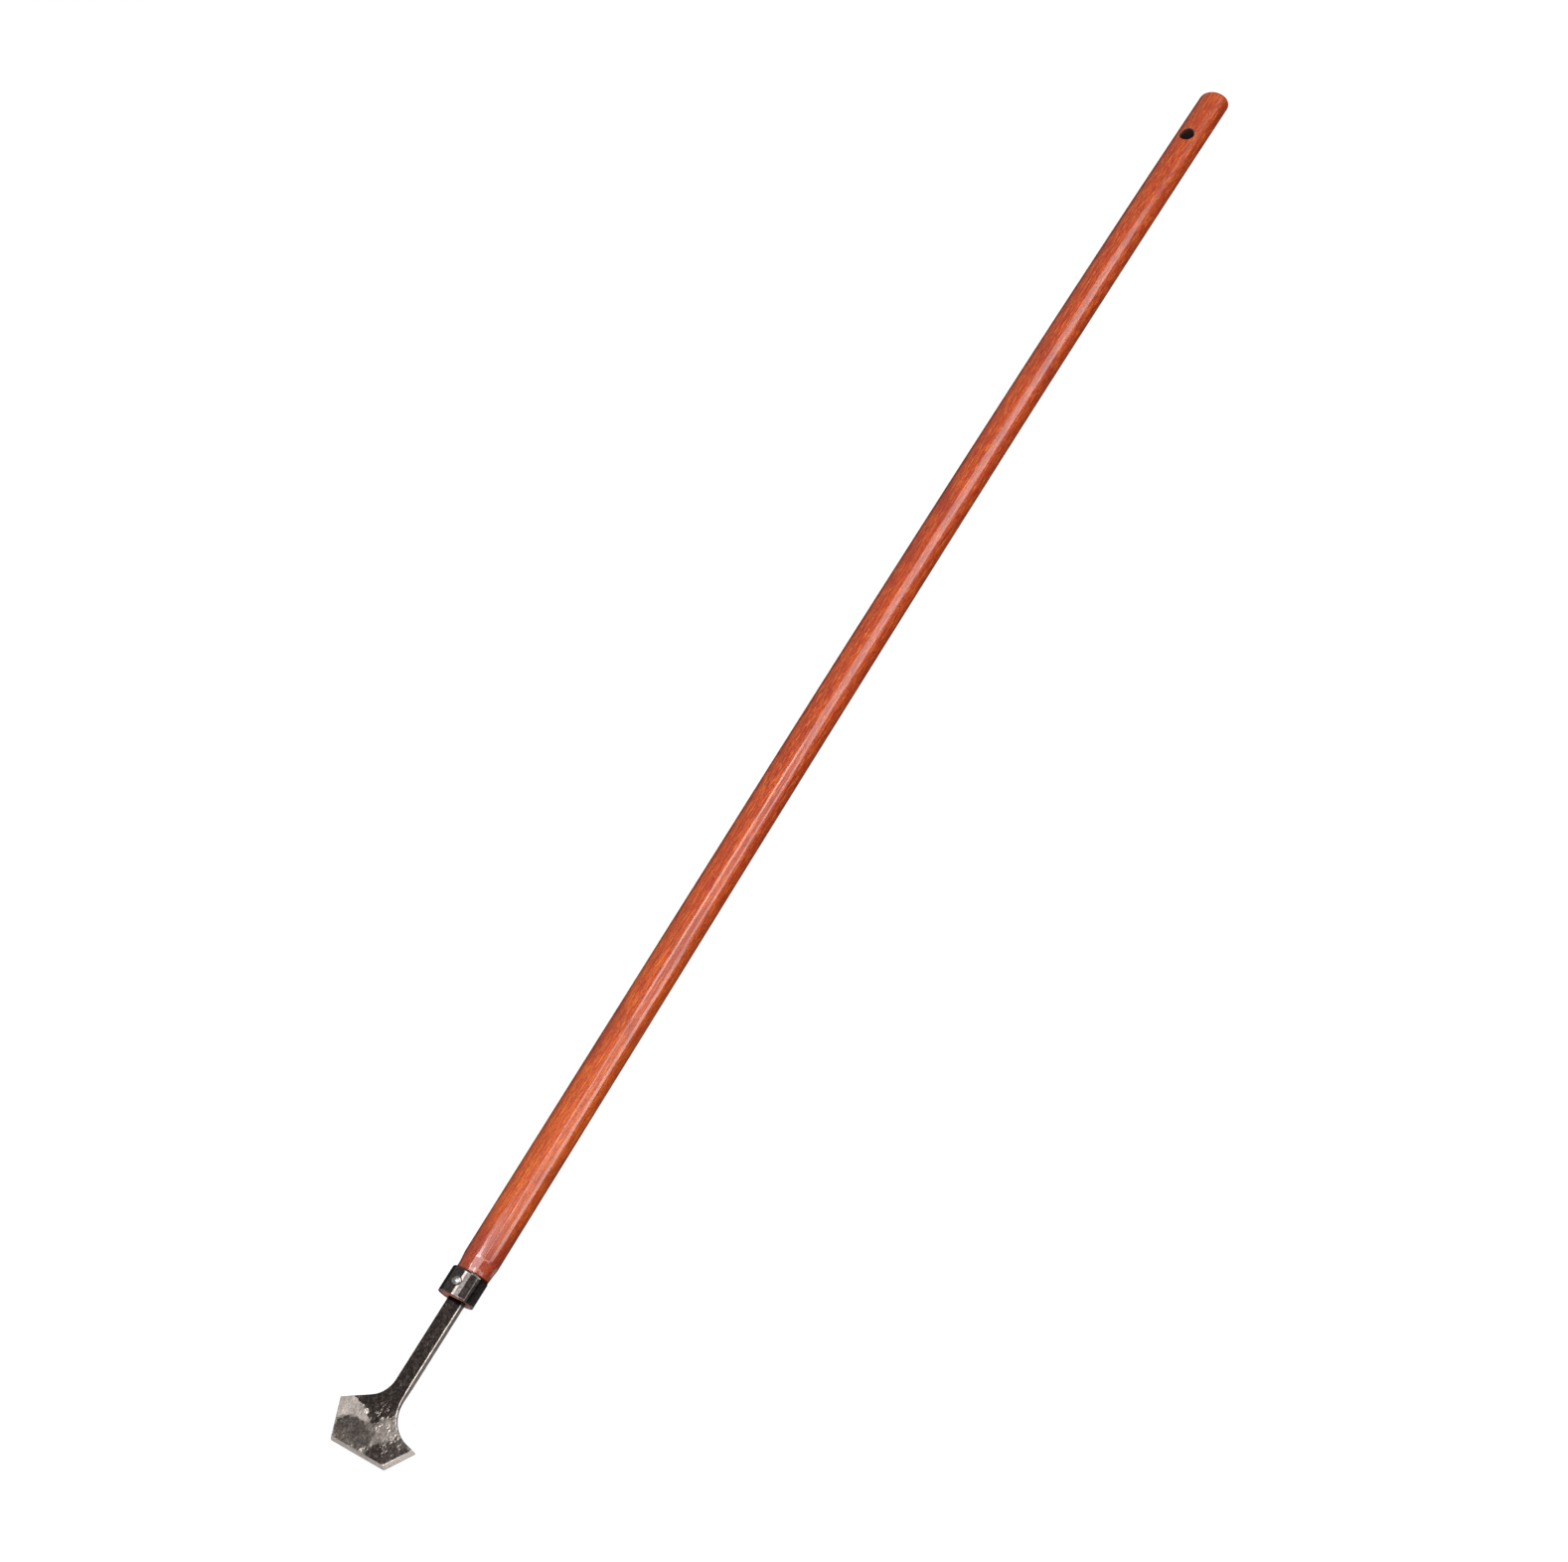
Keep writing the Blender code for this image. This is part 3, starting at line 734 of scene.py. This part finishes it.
def fillet(before, corner, after, radius, steps):
    """Points of an arc that rounds a corner, from the side of the point before it to the other side."""
    corner = Vector(corner[:2])
    back = (Vector(before[:2]) - corner).normalized()
    on = (Vector(after[:2]) - corner).normalized()
    half = 0.5 * math.acos(back.dot(on))
    run = radius / math.tan(half)
    centre = corner + (back + on).normalized() * radius / math.sin(half)
    start = corner + back * run - centre
    end = corner + on * run - centre
    sweep = math.remainder(math.atan2(end.y, end.x) - math.atan2(start.y, start.x), 2.0 * math.pi)
    return [tuple(centre + Matrix.Rotation(sweep * k / steps, 2) @ start) for k in range(steps + 1)]


def head_outline(spacing):
    """The head in plan as evenly spaced (above, right) points."""
    tip = HEAD_REACH + TANG_LENGTH
    corners = [
        EDGE_LEFT,
        EDGE_RIGHT,
        WING_RIGHT,
        NECK_RIGHT,
        (HEAD_REACH, SHANK_WIDTH / 2, 0.0),
        (tip, TANG_TIP_WIDTH / 2, 0.0015),
        (tip, -TANG_TIP_WIDTH / 2, 0.0015),
        (HEAD_REACH, -SHANK_WIDTH / 2, 0.0),
        NECK_LEFT,
        WING_LEFT,
    ]
    sparse = []
    for k, corner in enumerate(corners):
        before, after = corners[k - 1], corners[(k + 1) % len(corners)]
        if corner[2]:
            sparse += fillet(before, corner, after, corner[2], 30 if corner[2] > 0.005 else 8)
        else:
            sparse.append(corner[:2])
    points = []
    for start, end in zip(sparse, sparse[1:] + sparse[:1]):
        start, end = np.array(start), np.array(end)
        pieces = max(1, math.ceil(np.linalg.norm(end - start) / spacing))
        points += [mix(start, end, k / pieces) for k in range(pieces)]
    return np.array(points)


def inward(outline):
    """A unit vector into the plan at each point of the outline."""
    along = np.roll(outline, -1, axis=0) - np.roll(outline, 1, axis=0)
    along /= np.linalg.norm(along, axis=1)[:, None]
    return np.stack([along[:, 1], -along[:, 0]], axis=1)


def distance_inside(points, outline):
    """How far each point lies inside the outline, negative outside it."""
    starts, ends = outline, np.roll(outline, -1, axis=0)
    best = np.full(len(points), 1e9)
    inside = np.zeros(len(points), bool)
    for a, b in zip(starts, ends):
        run = b - a
        share = np.clip(((points - a) @ run) / (run @ run), 0.0, 1.0)
        away = points - (a + share[:, None] * run)
        best = np.minimum(best, (away**2).sum(axis=1))
        crosses = (a[1] > points[:, 1]) != (b[1] > points[:, 1])
        if a[1] != b[1]:
            at = a[0] + (points[:, 1] - a[1]) * run[0] / (b[1] - a[1])
            inside ^= crosses & (points[:, 0] < at)
    return np.where(inside, 1.0, -1.0) * np.sqrt(best)


def bevel_axes(start, end):
    """A bevel's first corner, its length, and unit vectors along its edge and into the blade."""
    a, b = np.array(start[:2]), np.array(end[:2])
    length = np.linalg.norm(b - a)
    along = (b - a) / length
    return a, length, along, np.array([along[1], -along[0]])


def bevel_creases(spacing, inner):
    """Points along the line where each ground bevel leaves the flat face, and the pairs that join them."""
    points, pairs = [], []
    for start, end, width, _ in BEVELS:
        a, length, along, into = bevel_axes(start, end)
        runs = np.arange(0.0, length, spacing)
        line = a + into * width + runs[:, None] * along
        at_crease = bevel_drop(line + into * 1e-7) <= 0.0
        line = line[at_crease & (distance_inside(line, inner) > 0.4 * spacing)]
        pairs += [(len(points) + k, len(points) + k + 1) for k in range(len(line) - 1)]
        points += list(line)
    return np.array(points), pairs


def head_thickness(above):
    forged = mix(BLADE_THICKNESS, SHANK_THICKNESS, smooth(above, BLADE_FLAT_LENGTH, NECK_TOP))
    tang = np.clip((above - HEAD_REACH) / TANG_LENGTH, 0.0, 1.0)
    return mix(forged, TANG_TIP_THICKNESS, tang)


def bevel_drop(plan):
    """How far the ground bevels lie under the flat face, the most of the three, and 0 away from them."""
    drop = np.zeros(len(plan))
    for start, end, width, edge in BEVELS:
        a, _, _, into = bevel_axes(start, end)
        depth = (plan - a) @ into
        slope = (BLADE_THICKNESS - edge) / width
        drop = np.maximum(drop, (width - depth) * slope)
    return drop


# Drops of scale and weld spatter on the front, as (right, above, radius, height) in millimetres
SPATTER = (
    (-6.0, 42.0, 2.4, 0.55),
    (-9.5, 38.5, 1.6, 0.35),
    (-17.6, 31.0, 2.6, 0.50),
    (-13.2, 33.0, 1.8, 0.40),
    (-8.5, 28.0, 1.7, 0.50),
    (-6.9, 34.6, 2.2, 0.45),
    (0.0, 32.0, 1.7, 0.45),
    (-1.2, 25.4, 1.6, 0.40),
    (3.8, 39.0, 2.2, 0.40),
    (-2.0, 5.0, 2.3, 0.50),
    (-11.0, 4.5, 1.5, 0.35),
    (4.0, 7.0, 1.6, 0.35),
    (6.4, 5.2, 1.3, 0.30),
    (19.0, 23.0, 1.6, 0.45),
    (24.0, 22.0, 1.8, 0.45),
    (21.6, 19.5, 1.5, 0.35),
    (13.0, 16.0, 2.0, 0.40),
    (16.6, 17.4, 1.4, 0.30),
    (21.0, 11.0, 1.5, 0.35),
    (17.4, 12.6, 1.2, 0.30),
    (11.5, 31.0, 1.2, 0.30),
    (15.0, 30.0, 1.1, 0.30),
)

# Patches of the front in millimetres, as (right, above, half width, half height, turn in degrees, edge
# softness, bareness), each laid over the ones before it
PATCHES = (
    (-33.0, 27.0, 13.0, 12.0, 20.0, 0.45, 0.86),
    (-22.0, 27.5, 13.0, 6.5, 0.0, 0.35, 0.74),
    (11.0, 25.5, 10.5, 8.5, -20.0, 0.30, 0.60),
    (18.0, 31.0, 8.0, 4.0, -35.0, 0.40, 0.62),
    (-17.6, 13.0, 15.5, 10.8, 0.0, 0.12, 0.30),
    (-24.0, 4.0, 12.0, 5.0, 0.0, 0.40, 0.38),
    (24.0, 16.0, 14.0, 8.5, 48.0, 0.22, 0.24),
    (12.0, 7.0, 9.0, 7.5, 0.0, 0.25, 0.17),
    (-1.0, 14.0, 4.2, 9.0, 0.0, 0.40, 0.36),
    (3.6, 18.0, 2.0, 10.2, 0.0, 0.30, 0.50),
    (30.0, 24.5, 9.0, 3.2, 12.0, 0.35, 0.42),
)

# Where small spatter roughens the front, as the patches without their bareness
SPATTER_ZONES = (
    (-6.0, 36.5, 10.0, 7.0, 0.0, 0.5),
    (-15.5, 31.5, 6.0, 3.5, -20.0, 0.5),
    (1.0, 27.5, 6.0, 5.5, 0.0, 0.5),
    (12.0, 30.0, 9.0, 5.0, -35.0, 0.5),
    (20.0, 20.5, 8.0, 4.5, 20.0, 0.5),
    (14.0, 14.5, 7.0, 4.5, 0.0, 0.5),
    (19.0, 10.5, 5.0, 3.5, 0.0, 0.5),
    (-1.0, 5.0, 6.5, 3.5, 0.0, 0.5),
)

# The lower edge of the shank's layer of scale, which runs down onto the blade, in millimetres
SCALE_EDGE_RIGHT = (-45.0, -27.0, -22.0, -15.5, -13.0, -9.5, -7.0, -4.5, -2.2, 0.0, 4.5, 12.0)
SCALE_EDGE_ABOVE = (45.0, 36.5, 34.0, 34.2, 32.5, 28.5, 25.8, 25.5, 28.5, 32.5, 36.0, 45.0)


def ellipse(right, above, patch):
    """1 inside a turned ellipse and 0 outside it, with a soft edge, at points in millimetres."""
    x, y, half_width, half_height, turn, softness = patch[:6]
    turn = math.radians(turn)
    dx, dy = right - x, above - y
    a = (dx * math.cos(turn) + dy * math.sin(turn)) / half_width
    b = (-dx * math.sin(turn) + dy * math.cos(turn)) / half_height
    return 1.0 - smooth(np.hypot(a, b), 1.0 - softness, 1.0 + softness)


def front_finish(plan):
    """How bare and how rusty the front is, and how much of the scale's layer lies on it."""
    above, right = plan[:, 0] / MM, plan[:, 1] / MM
    warp = np.stack([right, above], axis=1)
    right = right + 1.1 * uneven(warp, 51, 14.0, 2.5)
    above = above + 1.1 * uneven(warp, 52, 14.0, 2.5)
    bare = np.full(len(plan), 0.45)
    for patch in PATCHES:
        bare = mix(bare, patch[6], ellipse(right, above, patch))
    edge = np.interp(right, SCALE_EDGE_RIGHT, SCALE_EDGE_ABOVE)
    scale = smooth(above - edge, -0.6, 0.8)
    bare = mix(bare, 0.0, scale)
    scuffed = smooth(uneven(warp * (1.0, 0.35), 53, 6.0, 1.2, 40), 0.5, 1.8)
    bare = bare + 0.26 * scuffed * scale
    raised = smooth(spatter_relief(plan[:, 1] / MM, plan[:, 0] / MM), 0.00004, 0.00016)
    bare = mix(bare, np.maximum(bare, 0.55), raised * mix(0.4, 1.0, scale))
    drop = bevel_drop(plan)
    bare = np.where(drop > 0.0, 1.0, bare)
    rust = 0.08 + 0.6 * ellipse(right, above, (-28.0, 6.0, 9.0, 7.0, 0.0, 0.6))
    rust = rust + 0.35 * ellipse(right, above, (-6.0, 22.0, 12.0, 9.0, 0.0, 0.5))
    return bare, np.where(drop > 0.0, 0.0, rust * (1.0 - scale)), scale


def forge_relief(plan, seed):
    """Hammer marks, stronger on the blade than on the shank."""
    marks = uneven(plan, seed, 0.024, 0.006, 40)
    fine = uneven(plan, seed + 1, 0.0040, 0.0012, 60)
    return marks * mix(0.00010, 0.00006, smooth(plan[:, 0], 0.045, 0.07)) + fine * 0.000012


def spatter_relief(right, above):
    """Drops that froze on the steel, drawn out and often dished in the middle."""
    rng = np.random.default_rng(91)
    here = np.stack([right, above], axis=1)
    ragged = 0.22 * uneven(here, 92, 3.0, 0.9, 40)
    relief = np.zeros(len(right))
    for x, y, radius, size in SPATTER:
        turn = rng.uniform(0.0, math.pi)
        drawn = rng.uniform(1.0, 1.6)
        dish = rng.uniform(0.4, 1.0)
        a = (right - x) * math.cos(turn) + (above - y) * math.sin(turn)
        b = (above - y) * math.cos(turn) - (right - x) * math.sin(turn)
        away = np.hypot(a / drawn, b) / radius + ragged
        drop = np.where(away < 1.0, (1.0 - np.clip(away, 0.0, 1.0) ** 2) ** 2, 0.0)
        relief += 0.5 * size * MM * (drop - dish * 0.8 * np.exp(-((away / 0.42) ** 2)))
    return relief


def clear_of_wood(plan):
    """1 on the part of the head that shows, and 0 on the tang."""
    return 1.0 - smooth(plan[:, 0], HEAD_REACH - 0.002, HEAD_REACH)


def front_height(plan):
    """The front face above the middle plane, with its bevels, marks and spatter."""
    above, right = plan[:, 0] / MM, plan[:, 1] / MM
    scale = front_finish(plan)[2]
    height = head_thickness(plan[:, 0]) / 2
    relief = forge_relief(plan, 61) + 0.00008 * scale
    relief += uneven(plan, 65, 0.0030, 0.0009, 60) * 0.000025 * (scale + 0.3)
    relief -= 0.00025 * ellipse(right, above, (-2.0, 16.0, 26.0, 15.0, 0.0, 0.8))
    relief += spatter_relief(right, above)
    height += relief * clear_of_wood(plan)
    drop = bevel_drop(plan)
    ground = head_thickness(plan[:, 0]) / 2 - drop + 0.000012 * uneven(plan, 67, 0.02, 0.002, 40)
    return np.where(drop > 0.0, np.minimum(height, ground), height)


def back_height(plan):
    """The back face under the middle plane, with hammer marks only."""
    return -head_thickness(plan[:, 0]) / 2 + forge_relief(plan, 71) * clear_of_wood(plan)


def build_head():
    spacing = 0.00045
    outline = head_outline(spacing)
    into = inward(outline)
    thickness = front_height(outline) - back_height(outline)
    shank = smooth(outline[:, 0], 0.030, 0.062)
    tang = smooth(outline[:, 0], HEAD_REACH - 0.001, HEAD_REACH + 0.01)
    worn = smooth(outline[:, 1], -0.001, 0.001) * shank * (1.0 - tang)
    across = mix(EDGE_ROUND[0], WORN_EDGE_ROUND[0], worn)
    down = mix(EDGE_ROUND[1], WORN_EDGE_ROUND[1], worn)
    fit = np.minimum(1.0, 0.30 * thickness / EDGE_ROUND[1])
    innermost = across * fit + FACE_MARGIN

    def rounded(across, down):
        """The rings of a rounded edge as (outline, drop), from the side wall to the face."""
        steps = 9
        rings = []
        for k in range(steps + 1):
            turn = 0.5 * math.pi * k / steps
            ring = outline + into * (across * (1.0 - math.cos(turn)))[:, None]
            rings.append((ring, down * (1.0 - math.sin(turn))))
        rings.append((outline + into * innermost[:, None], 0.0 * down))
        return rings

    front_rings = rounded(across * fit, down * fit)
    back_rings = rounded(BACK_EDGE_ROUND * fit, BACK_EDGE_ROUND * fit)

    inner = front_rings[-1][0]
    low, high = inner.min(axis=0), inner.max(axis=0)
    rows = []
    for i, above in enumerate(np.arange(low[0], high[0], spacing * 0.866)):
        coarse = above > HEAD_REACH + 0.003
        if coarse and i % 6:
            continue
        step = spacing * (6 if coarse else 1)
        rights = np.arange(low[1] + (i % 2) * step / 2, high[1], step)
        rows.append(np.stack([np.full(len(rights), above), rights], axis=1))
    inside = np.concatenate(rows)
    inside = inside[distance_inside(inside, inner) > 0.6 * spacing]
    crease, pairs = bevel_creases(0.7 * spacing, inner)
    apart = np.full(len(inside), 1e9)
    for point in crease:
        apart = np.minimum(apart, ((inside - point) ** 2).sum(axis=1))
    inside = inside[np.sqrt(apart) > 0.6 * spacing]
    plan = np.concatenate([inner, crease, inside])
    loop = list(range(len(inner)))
    joined = [(len(inner) + first, len(inner) + second) for first, second in pairs]
    made = delaunay_2d_cdt([Vector(p) for p in plan], joined, [loop], 1, 1e-7)
    plan = np.array([tuple(v) for v in made[0]])
    triangles = made[2]

    verts, faces = [], []
    count = len(outline)

    for rings, height_of, side in ((front_rings, front_height, 1.0), (back_rings, back_height, -1.0)):
        for ring, drop in rings:
            verts.append(np.column_stack([ring, height_of(ring) - side * drop]))
    first_back = len(front_rings) * count
    for first in (0, first_back):
        faces.extend(tube_faces(len(front_rings), count, first))
    faces.extend((k, (k + 1) % count, first_back + (k + 1) % count, first_back + k) for k in range(count))
    front_first = 2 * first_back
    verts.append(np.column_stack([plan, front_height(plan)]))
    verts.append(np.column_stack([plan, back_height(plan)]))
    for first in (front_first, front_first + len(plan)):
        faces.extend(tuple(first + k for k in triangle) for triangle in triangles)

    shaped = np.concatenate(verts)
    world = np.column_stack([BLADE_X + shaped[:, 0], HEAD_Y - shaped[:, 1], AXIS_HEIGHT + shaped[:, 2]])
    head = mesh_object("forged_blade", world, faces, 30.0)
    cut(head, rivet_hole("tang_rivet_hole"))
    shade(head, 30.0)

    co = points_of(head)
    plan = np.column_stack([co[:, 0] - BLADE_X, HEAD_Y - co[:, 1]])
    above, right = plan[:, 0] / MM, plan[:, 1] / MM
    z = co[:, 2] - AXIS_HEIGHT
    bare, rust, _ = front_finish(plan)
    depth = distance_inside(plan, outline)
    sheared = (1.0 - smooth(depth, 0.0001, 0.0009)) * (z < head_thickness(plan[:, 0]) / 2 - 0.0008)
    back = z < -head_thickness(plan[:, 0]) / 4
    bare = np.where(back, 0.25 + 0.25 * uneven(plan, 81, 0.03, 0.004, 40), bare)
    rust = np.where(back, 0.3, rust)
    arris = (1.0 - smooth(depth, 0.0009, 0.0014)) * (plan[:, 1] > 0.0) * (z > 0.0008)
    wear = (0.06 + 0.36 * arris) * (1.0 - smooth(depth, 0.0010, 0.0024)) * smooth(plan[:, 0], 0.03, 0.05)
    shoulder = ellipse(right, above, (10.5, 37.0, 2.6, 6.5, 28.0, 0.4))
    wear += 0.9 * shoulder * (1.0 - smooth(depth, 0.0006, 0.0012)) * (z > 0.0)
    paint(head, "bare", np.maximum(bare, 0.75 * sheared) + wear)
    paint(head, "rust", rust)
    # Painted shadow: the shank turns near black for the last few millimetres below the ferrule's rim, where
    # the ferrule and the wood shade it
    mouth = plan[:, 0] - HEAD_REACH + 0.0004 * uneven(plan, 83, 0.004, 0.001)
    paint(head, "painted_shade", 0.92 * smooth(mouth, -0.0040, -0.0020))
    on_face = (z > 0.0) * (bevel_drop(plan) <= 0.0)
    zones = [ellipse(right, above, zone) for zone in SPATTER_ZONES]
    paint(head, "spatter", np.max(zones, axis=0) * on_face)
    dark, bright = (0.046, 0.038, 0.034), (0.52, 0.467, 0.428)
    scratch_turn = (0.0, 0.0, math.radians(14.0))
    head.data.materials.append(steel("forged_steel", dark, bright, 0.20, 0.40, scratch_turn))
    return head


# ---- studio ----

CAMERA_TURN = math.radians(27.0)
CAMERA_DISTANCE = 2.1948
CAMERA_BEYOND_EDGE = 0.1592
CAMERA_SIDE = 0.0015
CAMERA_TILT = math.radians(20.1256)
HANDLE_SLOPE = math.radians(57.7335)
LENS = 63.97
SENSOR = 36.0
SHIFT = (0.00107, -0.00068)

# How bright the lights' surroundings are above and below the horizon, and the table's own glow
ROOM_GLOW = 0.44
FLOOR_GLOW = 0.07
TABLE_GLOW = 0.90
TABLE_HALF_SIZE = 30.0
TABLE_GAP = 0.0002

LIGHT_DISTANCE = 2.0
GLOW_SIZE = 0.9

ALONG = Vector((1.0, 0.0, 0.0))
TOWARDS_CAMERA = Vector((0.0, -math.sin(CAMERA_TURN), math.cos(CAMERA_TURN)))
TO_THE_RIGHT = Vector((0.0, -math.cos(CAMERA_TURN), -math.sin(CAMERA_TURN)))
AXIS_MIDDLE = Vector((0.0, 0.0, AXIS_HEIGHT)) - TO_THE_RIGHT * CAMERA_SIDE
CAMERA_X = BLADE_X - CAMERA_BEYOND_EDGE


def place_camera():
    forward = ALONG * math.sin(CAMERA_TILT) - TOWARDS_CAMERA * math.cos(CAMERA_TILT)
    up_handle = (ALONG - forward * ALONG.dot(forward)).normalized()
    beside = forward.cross(up_handle)
    right = up_handle * math.cos(HANDLE_SLOPE) + beside * math.sin(HANDLE_SLOPE)
    up = up_handle * math.sin(HANDLE_SLOPE) - beside * math.cos(HANDLE_SLOPE)
    camera = new_object("camera", bpy.data.cameras.new("camera"))
    camera.data.sensor_width = SENSOR
    camera.data.lens = LENS
    camera.data.shift_x, camera.data.shift_y = SHIFT
    camera.data.clip_end = 100.0
    matrix = Matrix((right, up, -forward)).transposed().to_4x4()
    matrix.translation = ALONG * CAMERA_X + AXIS_MIDDLE + TOWARDS_CAMERA * CAMERA_DISTANCE
    camera.matrix_world = matrix
    bpy.context.scene.camera = camera


def area_light(name, length, width, brightness):
    """A light that the camera doesn't see, whose radiance is its brightness."""
    data = bpy.data.lights.new(name, "AREA")
    data.shape = "RECTANGLE"
    data.size = length
    data.size_y = width
    data.energy = brightness * math.pi * length * width
    light = new_object(name, data)
    light.visible_camera = False
    return light


def reach(x):
    """Where, along the tool, a light stands that the tool mirrors to the camera from x."""
    return x + LIGHT_DISTANCE * (x - CAMERA_X) / CAMERA_DISTANCE


def softbox(name, x_from, x_to, angle_from, angle_to, brightness):
    """A light that the tool mirrors to the camera from x_from to x_to along its length. Round the tool's axis
    it stands from one angle to the other, in degrees to the right of the camera."""
    middle = math.radians(angle_from + angle_to) / 2
    outward = TOWARDS_CAMERA * math.cos(middle) + TO_THE_RIGHT * math.sin(middle)
    width = 2.0 * LIGHT_DISTANCE * math.tan(math.radians(angle_to - angle_from) / 2)
    light = area_light(name, reach(x_to) - reach(x_from), width, brightness)
    matrix = Matrix((ALONG, outward.cross(ALONG), outward)).transposed().to_4x4()
    centre = AXIS_MIDDLE + ALONG * (reach(x_from) + reach(x_to)) / 2
    matrix.translation = centre + outward * LIGHT_DISTANCE
    light.matrix_world = matrix
    return light


def glow_on_blade(name, direction, brightness):
    """A square light in one direction from the blade."""
    direction = Vector(direction).normalized()
    light = area_light(name, GLOW_SIZE, GLOW_SIZE, brightness)
    light.matrix_world = direction.to_track_quat("Z", "Y").to_matrix().to_4x4()
    light.location = Vector((BLADE_X, 0.0, AXIS_HEIGHT)) + direction * LIGHT_DISTANCE
    return light


def place_lights():
    """Panels and lines for the varnish, the ferrule and the shank, glows on the blade, and two fills that
    light the wood but are not mirrored in it."""
    softbox("upper_panel", -0.04, 0.56, -6.0, 42.0, 3.4)
    softbox("upper_panel_edge", -0.04, 0.50, 24.0, 42.0, 1.3)
    softbox("lower_panel", -0.54, -0.04, -4.0, 46.0, 1.35)
    softbox("near_left_line", -0.31, -0.04, -8.0, 5.0, 5.6)
    softbox("far_left_line", -0.54, -0.31, -1.0, 8.0, 2.6)
    softbox("near_right_line", -0.24, -0.04, 36.0, 50.0, 3.4)
    softbox("far_right_line", -0.54, -0.24, 44.0, 64.0, 5.2)
    softbox("ferrule_strip", -0.76, -0.542, -40.0, -26.0, 12.0)
    softbox("ferrule_band", -0.66, -0.542, -26.0, -0.5, 3.8)
    softbox("neck_left", -0.545, -0.505, -50.0, -6.0, 2.4)
    softbox("ferrule_line", -0.66, -0.552, 42.0, 48.0, 2.0)
    softbox("neck_glow", -1.10, -0.612, -38.0, 12.0, 5.4)
    softbox("arris_glow", -0.72, -0.612, 14.0, 46.0, 3.9)
    softbox("shank_side", -0.76, -0.605, 112.0, 145.0, 0.66).visible_diffuse = False
    softbox("ferrule_side", -0.70, -0.560, 62.0, 150.0, 0.12).visible_diffuse = False
    softbox("top_panel", 0.56, 0.73, 18.0, 46.0, 0.6)
    glow_on_blade("edge_glow", (-0.885, 0.453, 0.107), 1.1)
    glow_on_blade("side_glow", (-0.578, -0.462, 0.672), 1.2)
    glow_on_blade("left_glow", (-0.124, 0.943, -0.309), 1.4).visible_diffuse = False
    softbox("left_fill", -0.60, 0.50, -80.0, -30.0, 0.62).visible_glossy = False
    softbox("low_fill", -0.60, -0.15, -40.0, 20.0, 0.40).visible_glossy = False


def light_room():
    """A dim even glow round the tool, darker below the horizon."""
    world = bpy.data.worlds.new("studio")
    world.use_nodes = True
    tree = world.node_tree
    coordinates = tree.nodes.new("ShaderNodeTexCoord")
    split = tree.nodes.new("ShaderNodeSeparateXYZ")
    tree.links.new(coordinates.outputs["Generated"], split.inputs[0])
    horizon = tree.nodes.new("ShaderNodeMapRange")
    tree.links.new(split.outputs["Z"], horizon.inputs["Value"])
    for value, socket in zip((-0.10, 0.10, FLOOR_GLOW, ROOM_GLOW), horizon.inputs[1:5]):
        socket.default_value = value
    background = tree.nodes["Background"]
    background.inputs["Color"].default_value = (1.0, 0.98, 0.97, 1.0)
    tree.links.new(horizon.outputs[0], background.inputs["Strength"])
    bpy.context.scene.world = world


def lay_table():
    """A plain white table that the tool does not mirror."""
    nodes = Nodes("white_table")
    grain = nodes.noise(nodes.place, 3.0, 2.0)
    nodes.set("Base Color", nodes.blend(grain, (0.10, 0.10, 0.10), (0.12, 0.12, 0.12)))
    nodes.set("Roughness", nodes.level(grain, 0.3, 0.7, 0.55, 0.65))
    nodes.set("Specular IOR Level", 0.1)
    nodes.set("Emission Color", (1.0, 1.0, 1.0))
    nodes.set("Emission Strength", TABLE_GLOW)
    size = TABLE_HALF_SIZE
    verts = [(-size, -size, 0.0), (size, -size, 0.0), (size, size, 0.0), (-size, size, 0.0)]
    table = mesh_object("white_table", verts, [(0, 1, 2, 3)])
    table.location.z = cad_low.z - TABLE_GAP
    table.data.materials.append(nodes.material)
    table.visible_glossy = False
    table.visible_diffuse = False
    table.visible_shadow = False


place_camera()
place_lights()
light_room()
lay_table()
bpy.context.scene.view_settings.view_transform = "Standard"

PIECES = (
    (build_handle, "handle", "stained_wood"),
    (build_ferrule, "ferrule", "blackened_steel"),
    (build_head, "forged_head", "forged_steel"),
    (build_rivet, "ferrule_rivet", "rivet_steel"),
)
for build, node, slot in PIECES:
    piece = build()
    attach(piece, "root")
    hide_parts(node)
